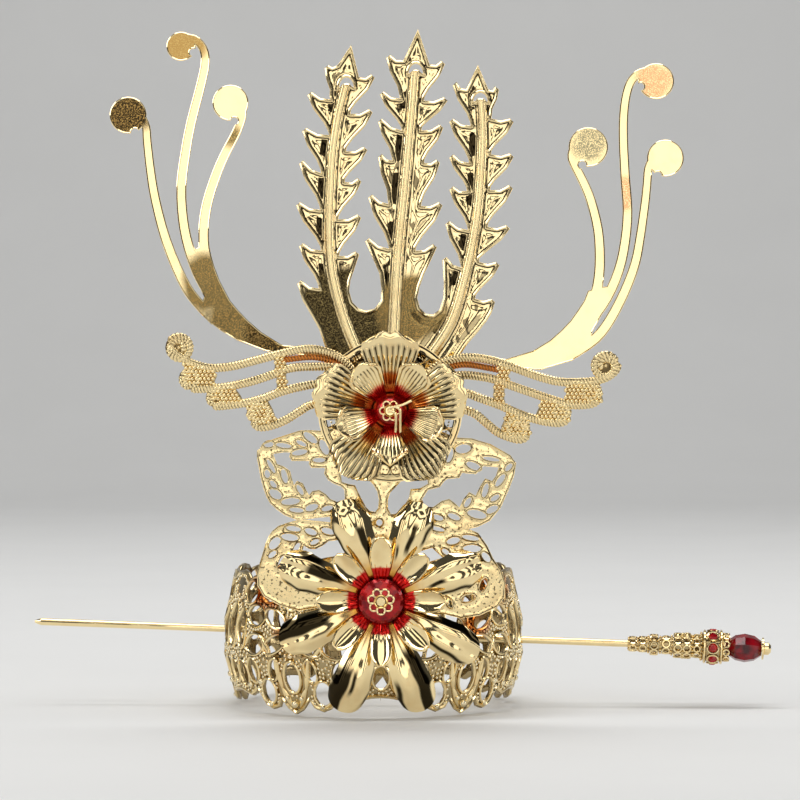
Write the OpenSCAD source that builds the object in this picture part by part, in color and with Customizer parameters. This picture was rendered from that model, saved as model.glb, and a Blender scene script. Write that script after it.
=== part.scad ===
// Hair crown with its hairpin: a pierced cuff for a bun, an openwork leaf panel in front of it,
// two flowers, a pair of wings, two antennae and a plume of three feathers.
// Millimetres, +Z up, the front faces -Y, the origin is the centre of the cuff's lower rim.

/* [Cuff] */
// Outer radius of the cuff at its waist
cuff_r = 36.2; // [35.5:0.1:37]
// Outer radius at the lower rim
cuff_foot_r = 33; // [32.5:0.1:34]
// Outer radius at the top
cuff_top_r = 33.3; // [32.5:0.1:34.5]
// Thickness of the cuff's metal
cuff_wall = 1.2; // [0.9:0.1:1.5]
// Size of the cuff's openings against the drawn ones
opening_scale = 1; // [0.8:0.05:1.1]

/* [Sheets] */
// Thickness of the leaf panel and the plume
plate_t = 0.6; // [0.4:0.1:0.7]
// Thickness of the antennae, the backing disc and the petals
foil_t = 0.5; // [0.4:0.05:0.5]
// Thickness of the wings' ribbed strands
strand_t = 1.2; // [1.1:0.1:1.3]
// Width of a wing strand
strand_w = 2.1; // [1.8:0.1:2.4]
// Rise of both wings against the upper flower
wing_rise = -0.5; // [-1:0.1:0.5]
// Clear gap between neighbouring layers
layer_gap = 0.2; // [0.15:0.05:0.25]
// Height of the midribs above the plume's sheet
midrib_h = 0.3; // [0.1:0.05:0.3]
// Lean of the plume and the antennae to the back, in degrees
lean = 4.5; // [3:0.5:6]

/* [Upper flower] */
// Sideways place of the upper flower
upper_x = 4.1; // [3.5:0.1:4.5]
// Height of the upper flower's centre
upper_z = 71.8; // [71.5:0.1:72.2]
// Reach of the five fan petals
fan_reach = 18.4; // [17:0.1:19.5]
// Reach of the five small petals
small_reach = 12.7; // [11.5:0.1:13.5]
// Radius of the backing disc
backing_r = 16.7; // [16:0.1:17.5]
// Radius of the red dome
upper_dome_r = 3.9; // [3.5:0.1:4.3]

/* [Lower flower] */
// Sideways place of the lower flower
lower_x = 2; // [1.5:0.1:2.5]
// Height of the lower flower's centre
lower_z = 27.7; // [27.2:0.1:28.2]
// Length of the eight spoon petals against the drawn one
spoon_scale = 1; // [0.9:0.01:1.03]
// Half width of a spoon petal at its widest
spoon_half = 4.4; // [3.8:0.1:4.6]
// Reach of the eight leaf cups
leaf_reach = 15; // [14:0.1:16]
// Radius of the red dish
lower_dome_r = 5.2; // [4.8:0.1:5.6]

/* [Hairpin] */
// Length of the hairpin's rod
pin_length = 177.6; // [165:0.2:185]
// Length from the pin's tip to the middle of the cuff
tip_to_middle = 82.6; // [75:0.1:90]
// Height of the pin at the middle of the cuff
pin_z = 16.8; // [15:0.1:18]
// Dip of the pin towards its head, in degrees
pin_dip = 1.9; // [0:0.1:3]
// Turn of the pin's head towards the front, in degrees
pin_yaw = 3; // [0:0.1:4]
// Diameter of the rod
rod_d = 1.7; // [1.5:0.1:1.8]
// Diameter of the round eyes that the rod runs through
eye_d = 2.3; // [2.2:0.1:2.4]

/* [Hidden] */
GOLD = [0.88, 0.70, 0.36];
RED = [0.66, 0.03, 0.05];
WINE = [0.40, 0.02, 0.04];
$fn = 48;

// Layers from the cuff to the front. Each value is the y of a layer's back face.
leaf_y = -(cuff_r + 0.5);
plume_y = leaf_y + plate_t + layer_gap;
left_antenna_y = plume_y + foil_t + layer_gap;
right_antenna_y = left_antenna_y + foil_t + layer_gap;
backing_y = leaf_y - plate_t - layer_gap;
wing_y = backing_y - foil_t - layer_gap;
fan_y = wing_y - strand_t - layer_gap;
small_y = fan_y - foil_t - layer_gap;
upper_dome_y = small_y - foil_t - 2.5 * layer_gap;
spoon_y = leaf_y - plate_t - layer_gap;
leaf_cup_y = spoon_y - foil_t - layer_gap;
lower_dome_y = leaf_cup_y - foil_t - layer_gap;

// Rivets and the holes that they pass through
post_r = 1;
hole_r = post_r + 0.25;
hub_r = 3.2;
pivot_z = upper_z - 3.4;

// Plain shapes
function unit(v) = v / norm(v);
function perp(v) = [-v[1], v[0]];
function polar(r, a) = r * [cos(a), sin(a)];
function reversed(points) = [for (i = [len(points) - 1:-1:0]) points[i]];
function smooth(p, i, t) =
    let (a = p[max(i - 1, 0)], b = p[i], c = p[i + 1], d = p[min(i + 2, len(p) - 1)])
    (2 * b + t * (c - a) + t * t * (2 * a - 5 * b + 4 * c - d) + t * t * t * (3 * b - a - 3 * c + d)) / 2;
function spline(p, steps) =
    concat([for (i = [0:len(p) - 2]) for (k = [0:steps - 1]) smooth(p, i, k / steps)], [p[len(p) - 1]]);
function heading(c, i) = unit(c[min(i + 1, len(c) - 1)] - c[max(i - 1, 0)]);
function ribbon(c, w0, w1) =
    let (n = len(c) - 1, half = [for (i = [0:n]) perp(heading(c, i)) * (w0 + (w1 - w0) * i / n) / 2])
    concat([for (i = [0:n]) c[i] + half[i]], [for (i = [n:-1:0]) c[i] - half[i]]);
// A leaf-shaped hole: two arcs that meet in a point at each end
function leaf(x, z, length, width, angle, sides = 12) =
    [for (k = [0:sides - 1]) let (t = k * 360 / sides, across = sin(t) * width / 2, along = cos(t) * length / 2)
        [x + along * cos(angle) - across * sin(angle), z + along * sin(angle) + across * cos(angle)]];

// Draws a flat outline (x, z) as a sheet whose back face is at y and which grows to the front.
module sheet(y, t) {
    translate([0, y, 0]) rotate([90, 0, 0]) linear_extrude(t) children();
}
// Tips what stands above the pivot to the back
module leaning() {
    translate([0, plume_y, pivot_z]) rotate([-lean, 0, 0]) translate([0, -plume_y, -pivot_z]) children();
}
// A flower's own frame: x to the right, y up, z to the front
module at_flower(x, y, z) {
    translate([x, y, z]) rotate([90, 0, 0]) children();
}

// Cuff. The pattern is drawn once for 36 degrees and mirrored round the ring.
repeats = 5;
half_turn = 180 / repeats;
cuff_turn = 3.2;
cuff_h = 33.8;
waist_low = 12.5;
waist_high = 20.5;
shoulder_r = cuff_r - 1.5;
// Outside of the wall from the foot to the top: [height, radius]
WALL = [[0, cuff_foot_r], [waist_low / 2, shoulder_r - 0.2], [waist_low, cuff_r], [waist_high, cuff_r],
        [waist_high + 6.5, shoulder_r], [cuff_h, cuff_top_r]];
// The openings are cut straight through the wall, from this distance off the axis outwards
cut_from = 28;
cut_length = 14;
// Least distance from an eye's centre to the centre of an opening
eye_clearance = 6;
// Lower edge: [angle from a pointed arch, height]
FOOT_EDGE = [[-0.4, 0], [3.5, 1.2], [6.8, 3.6], [9, 1.6], [12.6, 0.9], [16, 1.7], [18.5, 4], [20.5, 5.6],
             [22.5, 4.6], [25.5, 3.6], [29.5, 4], [33, 4.4], [36.5, 4.5]];
// Top edge: [angle from a pointed arch, height]
TOP_EDGE = [[-0.5, 33.6], [5, 33.1], [9, 31.6], [12, 32.3], [18, 32.9], [24, 32.3], [27, 31.2],
            [31, 32.7], [36.5, 33.3]];
// Openings on the mirror lines: [angle, height, length, width, tilt of the long axis]
AXIS_OPENINGS = [[0, 9, 7.4, 4.4, 90], [0, 28, 6.6, 4.6, 90], [36, 9.4, 5.6, 4, 90], [36, 20.2, 10.6, 4.4, 90]];
// Openings that are mirrored to both sides, with the same columns
SIDE_OPENINGS = [[7.6, 22.4, 7.4, 3.7, 28], [7.6, 16.6, 7.4, 3.7, 152], [18.6, 23, 6.6, 4.8, 10],
                 [18.6, 16.2, 6.6, 4.8, 170], [27.9, 19.6, 9.4, 4.2, 90], [8.5, 10.6, 5.4, 2.9, 105],
                 [13, 5.3, 5.8, 4.4, 90], [20.6, 10, 6, 4, 90], [28.4, 9, 6.4, 4.4, 90],
                 [12, 28.9, 5.4, 5.6, 90], [24.4, 28.2, 5.4, 5.8, 90]];

module cuff() {
    // Cuts one opening straight through the wall at an angle from the front
    module through(angle) {
        rotate([0, 0, angle]) sheet(-cut_from, cut_length) children();
    }
    function edge(rows, r, beyond) =
        let (u = [for (e = rows) r * sin(e[0] - half_turn / 2)], n = len(rows) - 1)
        concat([for (i = [0:n]) [u[i], rows[i][1]]], [[u[n], beyond], [u[0], beyond]]);
    // The rod's eyes are at the right and the left, and openings keep clear of them
    function clear_of_eyes(angle, z) =
        let (a = angle + cuff_turn, side = sign(sin(a)), off = cuff_r * sin(a - 90 * side),
             eye_z = pin_z - side * cuff_r * tan(pin_dip), eye_off = -cuff_r * tan(pin_yaw))
        cos(a - 90 * side) < 0.8 || norm([off - eye_off, z - eye_z]) > eye_clearance;
    module opening(o, angle, tilt) {
        if (clear_of_eyes(angle, o[1]))
            through(cuff_turn + angle)
                polygon(leaf(0, o[1], o[2] * opening_scale, o[3] * opening_scale, tilt, 10));
    }
    color(GOLD) difference() {
        rotate_extrude() polygon(concat([for (w = WALL) [w[1], w[0]]],
            reversed([for (w = WALL) [w[1] - cuff_wall, w[0]]])));
        for (k = [0:repeats - 1]) {
            arch = half_turn + k * 2 * half_turn;
            for (o = AXIS_OPENINGS) opening(o, arch + o[0], o[4]);
            for (side = [-1, 1]) {
                for (o = SIDE_OPENINGS) opening(o, arch + side * o[0], side > 0 ? o[4] : 180 - o[4]);
                through(cuff_turn + arch + side * half_turn / 2) scale([side, 1])
                    polygon(edge(FOOT_EDGE, cuff_foot_r, -2));
                through(cuff_turn + arch + side * half_turn / 2) scale([side, 1])
                    polygon(edge(TOP_EDGE, cuff_top_r, cuff_h + 2));
            }
        }
        on_pin() cylinder(h = 120, d = eye_d, center = true);
        translate([lower_x, -cut_from, lower_z]) rotate([90, 0, 0]) cylinder(h = cut_length, r = hole_r);
    }
}

// Leaf panel. The right half is drawn round the waist's centre and turned a little.
waist = [2.5, 46.1];
right_turn = -1.5;
RIGHT_EDGE = [[0.4, 29.7], [5.5, 28.5], [11, 22], [16.2, 19.8], [20, 19.7], [24.4, 18.5], [29.1, 16],
              [30.5, 14.2], [30.1, 11.2], [28.8, 7.6], [27.1, 3.6], [24.8, 0.7], [22.1, -0.8], [19.9, -1.4],
              [22.1, -2.2], [24.3, -5.1], [25.8, -8.1], [27.6, -10.6], [28.7, -13.6], [28.7, -17],
              [27, -19.4], [23, -21.4], [18.7, -22.2], [14.5, -21.3], [9, -21.8], [4, -23.4]];
// Leaf-shaped holes: [x, z, length, width, angle]
RIGHT_HOLES = [[18.1, 17.2, 3.6, 2.1, 10], [15, 15.6, 3.4, 1.5, 75], [24.7, 15, 4, 0.9, -8],
               [20.6, 13.3, 3.6, 1.6, -22], [28.8, 13.2, 2.2, 1.1, 50],
               [26.9, 10.1, 3.5, 1.3, 55], [25.8, 6, 2.4, 1.1, 35], [23.5, 7.7, 3.4, 1.3, 75],
               [19.5, 4.8, 2.5, 1.2, 60], [21.7, 2.1, 4.6, 1.9, -12], [25.2, 3.3, 3, 1.5, 30],
               [16.4, 1.4, 3, 1.3, -20], [12.6, 1.1, 2.8, 1.2, -15],
               [12.6, -1.5, 3.4, 0.9, -12], [16.4, -4.2, 3.1, 1.5, 15], [20.4, -3.4, 4, 1.1, -8],
               [20.8, -5.9, 4.2, 1.7, 0], [14.7, -6.8, 2, 1, -35], [24.1, -7.8, 2.7, 1.4, -50],
               [20.2, -17.4, 3.4, 1.6, 15], [15.8, -18.6, 2.6, 1.2, -60], [23.6, -14.2, 3.4, 1.5, 70]];
// The gap between the upper sprays, and the one under the waist's threads
RIGHT_GAPS = [
    [[14.6, 10.1], [17.4, 10.4], [18, 11.6], [21.2, 11.4], [22.9, 13.3], [26.4, 13.1], [25.9, 11.2],
     [25, 9.9], [23.4, 10.5], [22.3, 8.7], [21.3, 6.4], [19.8, 7.2], [18.5, 5.6], [17.6, 3.6], [16.6, 4.5],
     [15.2, 5.5], [13.5, 5], [11.5, 3.5], [9.6, 3.6], [8.9, 5.2], [10.2, 7.4], [13, 8.2], [13.8, 9.4]],
    [[8.6, -6.9], [11.5, -6], [14, -8.2], [11, -9.2], [8.6, -9.2]]];
// The left half, from the bottom up, in the crown's own x and z
LEFT_EDGE = [[-2.4, 23.2], [-7.3, 25.1], [-12.8, 25.9], [-17, 25.2], [-21.3, 26.3], [-25.2, 28.5], [-26.7, 31],
             [-26.8, 34], [-26, 37], [-25.4, 38.9], [-24.9, 40.7], [-24.2, 42.4], [-23.3, 43.7], [-21.9, 44.9],
             [-20.3, 45.5], [-17.5, 46.3], [-18.9, 46.8], [-20.5, 47.5], [-22.4, 48.9], [-23.8, 50.2],
             [-24.7, 51.9], [-25.4, 54], [-26, 56.3], [-26.4, 58.6], [-26.8, 60.7], [-26.8, 62.4], [-26.1, 63],
             [-25.4, 64.2], [-22.4, 65.3], [-18.7, 66.5], [-16.8, 67.1], [-14.5, 67.2], [-12.2, 67], [-8, 69]];
LEFT_HOLES = [[-24, 63.8, 2.2, 1.2, 10], [-20.6, 63.6, 3.6, 1.1, -8], [-14.4, 65.4, 3.9, 1.6, -38],
              [-16.5, 64.1, 2.6, 1, -27], [-16.9, 62, 3.7, 1.3, 10], [-11.2, 63.2, 3.8, 1.8, -65],
              [-12.4, 60.2, 2.9, 1.1, 0], [-23.5, 58.8, 3.7, 1, -60], [-24.4, 57, 1.9, 1.3, -80],
              [-23, 54.6, 2.2, 1.1, -50], [-22.5, 52.3, 3.2, 2, -35], [-20.4, 56.5, 3.4, 1.4, -75],
              [-16.8, 53.3, 2.7, 1.1, -58], [-19, 50.6, 4.4, 1.6, 5], [-17.6, 48.6, 3.4, 1.1, -5],
              [-14.1, 49.2, 3.1, 1.5, 18], [-10.5, 49, 2.7, 1.2, 15], [-18.3, 44.3, 3.4, 1.2, -8],
              [-19.2, 42.3, 4, 1.6, -8], [-22.7, 40.9, 3.4, 2, 50], [-23.2, 38.3, 2.2, 1.1, 40],
              [-17.6, 39.8, 2.7, 1.1, 62], [-14.3, 43.6, 2.9, 1.4, -20], [-13.4, 41.2, 2.2, 1, 25],
              [-10.3, 43.7, 3.2, 1.4, -15], [-21.2, 36.4, 3.3, 1.1, 68]];
LEFT_GAPS = [
    [[-23, 61.6], [-20.7, 62], [-19.1, 62], [-19.3, 60.9], [-18.7, 60], [-14.6, 60], [-14.8, 59.3],
     [-14.2, 58.4], [-11, 58.4], [-11.2, 57], [-10.3, 55.6], [-8.9, 54.7], [-7.3, 54.1], [-6.5, 53.3],
     [-6.4, 51.1], [-8.2, 50.5], [-9.8, 51.2], [-10.8, 52.3], [-12.4, 53.3], [-14, 53], [-14.7, 52.1],
     [-15.4, 53.3], [-16.1, 54.8], [-17.5, 55.4], [-18.2, 54.4], [-18.7, 56], [-19.1, 57.7], [-20.7, 58.8],
     [-22.1, 59.3]],
    [[-15.6, 46.4], [-12.6, 46.8], [-9.4, 47.1], [-9.1, 45.7], [-12.6, 46.1]],
    [[-15.9, 40.3], [-14.7, 39.6], [-13.3, 39.5], [-11.7, 40.2], [-10.1, 41.4], [-8, 41.6], [-6.4, 38.9],
     [-7.1, 38], [-9.8, 37.8], [-13.3, 37], [-15.4, 37.5], [-16.6, 38.1]]];
// The two gaps beside the stem at the waist, open up to behind the upper flower
STEM_GAPS = [
    [[-7.1, 55.1], [-7.3, 57], [-6.4, 57.7], [-2, 57.7], [-1.3, 56], [0.1, 54.6], [1.1, 53], [1.5, 51],
     [1.3, 49.1], [0.6, 48.2], [-0.6, 48.4], [-1.5, 49.3], [-2.4, 51], [-3.3, 52.8], [-4, 54.4], [-5.7, 54.7]],
    [[3.6, 51], [3.6, 49.1], [4.3, 47.7], [5.2, 47.7], [6.4, 48.4], [7.6, 50], [8.5, 51.6], [8.8, 53.5],
     [11, 53.7], [12.9, 54.7], [12.7, 56], [12, 57], [8.3, 57], [7.1, 55.8], [5.5, 54], [4.1, 52.6]]];
waist_ring = [1.6, 45.7];

module leaf_panel() {
    function placed(p) = waist + norm(p) * polar(1, atan2(p[1], p[0]) + right_turn);
    color(GOLD) sheet(leaf_y, plate_t) difference() {
        polygon(concat([for (p = RIGHT_EDGE) placed(p)], LEFT_EDGE));
        for (h = RIGHT_HOLES) polygon([for (p = leaf(h[0], h[1], h[2], h[3], h[4])) placed(p)]);
        for (gap = RIGHT_GAPS) polygon([for (p = gap) placed(p)]);
        for (h = LEFT_HOLES) polygon(leaf(h[0], h[1], h[2], h[3], h[4]));
        for (gap = concat(LEFT_GAPS, STEM_GAPS)) polygon(gap);
        translate(waist_ring) circle(r = 0.7);
        translate([upper_x, upper_z]) circle(r = hole_r);
        translate([lower_x, lower_z]) circle(r = hole_r);
    }
}

// Plume. Each barb is a row of [tip x, tip z, notch x, notch z] with its notch at its upper side,
// from the top down. The first row of a side is the shoulder below the feather's point.
LEFT_POINT = [-5, 157.2];
LEFT_OUT = [[-10.9, 152.2, -8.2, 152.4], [-14.9, 145.9, -9.9, 144.4], [-16.1, 137.4, -10.2, 136],
            [-16.8, 129.8, -12, 127.1], [-17.5, 120, -12.2, 118.5], [-16.8, 110.4, -12, 109],
            [-17.2, 101.7, -12.5, 100.1]];
LEFT_IN = [[0.2, 150, -3.2, 149.6], [-0.3, 141.8, -5.2, 141], [-1.5, 133, -6.2, 132.2],
           [-2.9, 125.6, -6.5, 125], [-2.9, 117.1, -8, 116.3], [-3.4, 108.5, -7.8, 107.7]];
MIDDLE_POINT = [10.6, 160.9];
MIDDLE_OUT = [[3.5, 154.6, 7.2, 153.6], [2, 146, 6.4, 144.6], [1.6, 139.6, 6.8, 137.1],
              [1.6, 131.3, 4.6, 130.1], [-0.7, 121.8, 3.7, 119.9], [-1.4, 111.6, 3.8, 109.4]];
MIDDLE_IN = [[16.6, 153.2, 13.3, 152.6], [17.2, 144.6, 12, 144.1], [16.2, 138.2, 11.4, 137.1],
             [15.4, 130, 12, 129.5], [16, 120, 11.3, 119.4], [14.7, 110.2, 10, 108.9]];
RIGHT_POINT = [24.6, 152.5];
RIGHT_OUT = [[19, 148.2, 21.8, 146.8], [18.2, 139.6, 22.9, 138.2], [18.2, 131.2, 22.5, 129.5],
             [18.2, 123.7, 22, 122.9], [17.3, 115.6, 22.2, 113.8], [16.6, 107.2, 20.6, 105]];
RIGHT_IN = [[29.2, 147.2, 27, 146.7], [32.6, 139.6, 27.7, 139.9], [32.6, 131.4, 27.6, 131.5],
            [32.4, 124, 27.4, 123.1], [31.7, 114.6, 26.8, 114.5], [29.3, 106, 24.8, 106.3],
            [28.2, 97.4, 23.9, 97.7]];
LEFT_RIB = [[-6.3, 147.6], [-7.9, 141], [-9.2, 132.5], [-9.8, 122], [-10.1, 112], [-9.3, 103], [-6.6, 93],
            [-3, 84]];
MIDDLE_RIB = [[9.9, 150.8], [9.3, 143], [8.4, 133], [7.3, 121], [6, 108], [5.2, 96], [4.7, 86]];
RIGHT_RIB = [[25.3, 144.2], [25.7, 136], [25.2, 125], [24.2, 115.5], [22, 104.5], [18.4, 92.5], [13, 84]];
LEFT_GAP = [[-5.2, 101.8], [-5.4, 99.4], [-4.7, 96.9], [-3.2, 95.4], [-1.4, 94.9], [0.5, 95.4], [1.9, 97.3],
            [2.1, 99.8], [1.6, 103.6]];
RIGHT_GAP = [[12.1, 103.6], [11, 100.6], [10.4, 97.9], [11, 95.6], [12.4, 94.2], [14.1, 94],
             [15.6, 95.2], [16.5, 97.9], [16.6, 101.4]];
LEFT_FOOT = [[-16.3, 97.4], [-14.2, 93.8], [-12.4, 90.6], [-11.2, 87], [-9.5, 82], [-4, 76], [-1, 69.4]];
RIGHT_FOOT = [[9, 69.4], [14, 76], [19, 82.5], [22.2, 87.3], [24.6, 90], [26.5, 92.4], [27.8, 94.6]];

// One side of a feather from the top down: up to each tip along a hollow edge, back along a full one
function barb_side(rows, s) = [for (i = [0:len(rows) - 1])
    let (r = rows[i], tip = [r[0], r[1]], notch = [r[2], r[3]],
         next = i < len(rows) - 1 ? [rows[i + 1][2], rows[i + 1][3]] : undef,
         fall = is_undef(next) ? 0 : tip[1] - next[1])
    each concat([notch, notch * 0.55 + tip * 0.45 - [0, 0.4], tip - [0.6 * s, -0.3], tip + [0.3 * s, -0.5]],
        is_undef(next) ? [] : [tip * 0.72 + next * 0.28 + [0.25 * s, -0.1 * fall],
            tip * 0.3 + next * 0.7 + [-0.2 * s, 0], next + [0.15 * s, 0.9]])];
function plume_outline() = concat(
    reversed(LEFT_FOOT), reversed(barb_side(LEFT_OUT, -1)), [LEFT_POINT], barb_side(LEFT_IN, 1), LEFT_GAP,
    reversed(barb_side(MIDDLE_OUT, -1)), [MIDDLE_POINT], barb_side(MIDDLE_IN, 1), RIGHT_GAP,
    reversed(barb_side(RIGHT_OUT, -1)), [RIGHT_POINT], barb_side(RIGHT_IN, 1), reversed(RIGHT_FOOT));
// The crescent slot over a midrib's head
function crescent(top, w, h) = concat(
    [for (a = [180:-20:0]) top + [w * cos(a), h * sin(a) - h]],
    [for (a = [20:20:160]) top + [w * 0.7 * cos(a), h * 0.42 * sin(a) - h]]);

module plume() {
    color(GOLD) leaning() {
        sheet(plume_y, plate_t) difference() {
            polygon(plume_outline());
            polygon(crescent([-6.1, 149.6], 1.7, 2.4));
            polygon(crescent([10.1, 152.8], 1.7, 2.4));
            polygon(crescent([25.2, 146], 1.7, 2.2));
            translate([upper_x, upper_z]) circle(r = hole_r);
        }
        for (rib = [LEFT_RIB, MIDDLE_RIB, RIGHT_RIB])
            sheet(plume_y - plate_t + 0.1, midrib_h + 0.1) polygon(ribbon(spline(rib, 3), 1, 1.5));
    }
}

// Antennae. A stem is a line of points from its curled head down to the body.
LEFT_STEMS = [
    [[-54, 140.6], [-52.9, 138], [-52.6, 134.5], [-51.8, 127.7], [-50.6, 120.7], [-48.1, 111.4],
     [-44.4, 102.4], [-41.2, 97.4], [-36.5, 92.6]],
    [[-44.6, 158.9], [-41.8, 158.7], [-39.7, 156.6], [-39.1, 153.3], [-40.1, 148], [-42.3, 139.3],
     [-43.6, 132.3], [-44.6, 124], [-44.2, 116.5], [-42.9, 110], [-40.6, 103.6], [-37.4, 98]],
    [[-31.4, 144.4], [-30.4, 141.2], [-31.7, 137], [-34.1, 132.3], [-36.2, 127.5], [-38.4, 120.7],
     [-39.3, 115], [-39.2, 109.5], [-37.8, 104]]];
LEFT_BODY = [[-42.8, 106.2], [-41, 101.8], [-39.2, 98.2], [-39.9, 96.4], [-41.4, 96.1], [-38.4, 92.7],
             [-35.5, 90.4], [-31.6, 88.1], [-24.8, 85.5], [-19.6, 85.2], [-18.3, 85.9], [-21.6, 87.3],
             [-25.9, 90], [-29, 92.7], [-31.3, 95.1], [-33.2, 97.4], [-35.6, 102], [-37.4, 106.7],
             [-40, 110], [-41.4, 109.4]];
// Heads: [x, z, radius, x of the nick beside the stem, z of the nick]
LEFT_HEADS = [[-57.1, 140.8, 4.3, -55.5, 136.8], [-44.8, 157, 3.4, -41.9, 155.6],
              [-33.2, 143.7, 4.2, -32.3, 139.4]];
nick_r = 0.9;
LEFT_TONGUE = [[-21, 86], [-14.4, 85.3], [-9.8, 84.2], [-4, 80], [0, 76], [3.3, 72.6]];
RIGHT_STEMS = [
    [[47.2, 133.8], [46.5, 131.6], [47, 129.6], [49.2, 125.2], [51, 120.7], [52.6, 114], [53, 107.5],
     [52.7, 102.4], [51.8, 97.6]],
    [[66, 151.2], [63, 151], [60.7, 149.2], [59.4, 146], [58.7, 141], [58.6, 135], [59, 126], [59.5, 118.5],
     [58.9, 111.2], [57.4, 104.4], [54.6, 98], [50.6, 92.6], [46, 88.4]],
    [[65.6, 131], [64.4, 128.4], [64.1, 125], [63.5, 119.5], [62.4, 112], [61.2, 106], [58.9, 99.8],
     [55.4, 93], [52, 88.6], [47, 85.2]]];
RIGHT_BODY = [[50.2, 99.7], [49.3, 97.4], [47.8, 95.1], [46.1, 92.7], [43.9, 90.4], [41.3, 88.1],
              [37.4, 85.7], [30.6, 83.6], [31, 82], [39, 81.2], [46.5, 83.4], [50.6, 86.1], [51, 88.2],
              [51.2, 90.2], [54, 95], [56.2, 98.6], [55, 100.8], [53.4, 100.6]];
RIGHT_HEADS = [[50.4, 133.4, 4.6, 49, 129.2], [66.3, 148.9, 4.2, 62.6, 147.6], [68.4, 130.8, 4.3, 66.6, 126.7]];
RIGHT_TONGUE = [[34, 83.2], [30.7, 82.8], [27.2, 83.6], [22.6, 84.1], [18.2, 82.6], [12.5, 79], [8, 75.2],
                [4.9, 72.6]];

module antenna(y, stems, body, heads, tongue) {
    color(GOLD) leaning() difference() {
        union() {
            sheet(y, foil_t) polygon(body);
            for (stem = stems) sheet(y, foil_t) polygon(ribbon(spline(stem, 3), 1.9, 2.6));
            for (h = heads) sheet(y, foil_t) translate([h[0], h[1]]) circle(r = h[2]);
            sheet(y, foil_t) polygon(ribbon(spline(tongue, 3), 1.9, 1.9));
            sheet(y, foil_t) translate([upper_x, upper_z]) circle(r = hub_r - 0.6);
        }
        sheet(y + foil_t, 3 * foil_t) {
            for (h = heads) translate([h[3], h[4]]) circle(r = nick_r);
            translate([upper_x, upper_z]) circle(r = hole_r);
        }
    }
}
module antenna_left() {
    antenna(left_antenna_y, LEFT_STEMS, LEFT_BODY, LEFT_HEADS, LEFT_TONGUE);
}
module antenna_right() {
    antenna(right_antenna_y, RIGHT_STEMS, RIGHT_BODY, RIGHT_HEADS, RIGHT_TONGUE);
}

// Wings. Four strands each, from the root outwards, with a curl [x, z, radius] at each end.
LEFT_STRANDS = [
    [[-4, 80.4], [-6.3, 83.6], [-9.8, 85.6], [-14.4, 86.5], [-19.1, 85.9], [-28.3, 83.5], [-33, 82.4],
     [-37.6, 82.1], [-41, 82.9], [-43.5, 84.1], [-45.9, 85.9], [-47.2, 88]],
    [[-5.4, 79.6], [-8.4, 82.1], [-14.4, 82.4], [-19.1, 82], [-23, 80.6], [-28.3, 78.9], [-34.1, 77.7],
     [-38.7, 77.3], [-42.2, 77.3]],
    [[-7.6, 76.8], [-12.1, 78.3], [-16.8, 77.7], [-21.4, 76.5], [-25.5, 75], [-29.5, 74], [-34.1, 73.4],
     [-37.1, 73.2]],
    [[-8.4, 74.6], [-14, 73.6], [-16.8, 72.1], [-20.2, 70], [-23.7, 68.7], [-26.4, 68.5], [-27.8, 70]]];
LEFT_CURLS = [[-44.8, 86.8, 3.5], [-42.2, 79.5, 2.7], [-36.2, 75.1, 2.4], [-26.2, 71.6, 3]];
// Webs of soldered grains between the strands' ends, and the links between the strands
LEFT_WEBS = [[[-43.6, 83.5], [-36.7, 81.6], [-36, 80.2], [-36.7, 78.4], [-40.8, 77.9], [-43.6, 79.3]],
             [[-36.7, 78.4], [-31.8, 77.5], [-30.4, 75.6], [-29.7, 73.8], [-34.8, 73.3], [-37.6, 75.1]],
             [[-29.3, 73.8], [-24.2, 74.6], [-23, 72.4], [-22.3, 70], [-26.5, 68.7], [-28.8, 70.5]],
             [[-22.8, 85.3], [-20, 86], [-19.9, 81.4], [-22.5, 80.8]],
             [[-22.3, 81.2], [-20, 81.9], [-19.8, 77.2], [-22.1, 76.4]]];
LEFT_ROOT = [[-2.4, 81.4], [-6.4, 80.4], [-9.6, 76.6], [-9.6, 73.2], [-6.6, 72.6], [-1.2, 78]];
RIGHT_STRANDS = [
    [[12.6, 81], [16, 83.2], [19.1, 84.2], [22.6, 84.5], [27.2, 83.9], [32, 82.4], [38.8, 80], [43.4, 78.9],
     [48.1, 78.8], [51.4, 79.1], [54.2, 79.9], [56.2, 81.4], [57, 83.4]],
    [[14.4, 79.4], [20.3, 80.4], [24.9, 80.1], [28.4, 79.4], [31.9, 78.1], [36.5, 76.5], [41.1, 74.9],
     [45.8, 73.6], [50.4, 73.7], [52.5, 74.8]],
    [[15.6, 76.6], [21.4, 76.3], [24.9, 75.1], [29.6, 73.4], [33, 71.9], [36.5, 70.6], [40, 69.7], [43.4, 69.4],
     [45.4, 70.2]],
    [[16.4, 74], [23.1, 71.8], [26.1, 69.6], [28.9, 67.3], [31.9, 66], [34.6, 65.6], [36.2, 66.9]]];
RIGHT_CURLS = [[54, 82.6, 3.5], [50.7, 76.5, 2.6], [43.8, 71.8, 2.4], [33.6, 68.3, 3]];
RIGHT_WEBS = [[[44.8, 77.5], [46.9, 79], [52.7, 78.4], [53.4, 74.7], [52.2, 73.6], [44.8, 73.8]],
              [[39.5, 75], [44.8, 73.8], [46, 70.5], [44.8, 69.2], [40, 69.4], [37.4, 70.4]],
              [[31.4, 71.9], [36.3, 70.3], [36.7, 66.6], [34.2, 65.4], [30.9, 66.3], [29.8, 68.4]],
              [[29.1, 83.2], [31.6, 82.4], [31.6, 78.6], [29.1, 79.4]],
              [[28.2, 79.2], [30.7, 78.4], [30.5, 73.4], [27.9, 74.4]]];
RIGHT_ROOT = [[10.8, 82], [15.4, 81.6], [17.8, 77], [17.8, 73], [14.8, 72.6], [9.6, 78]];

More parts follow.
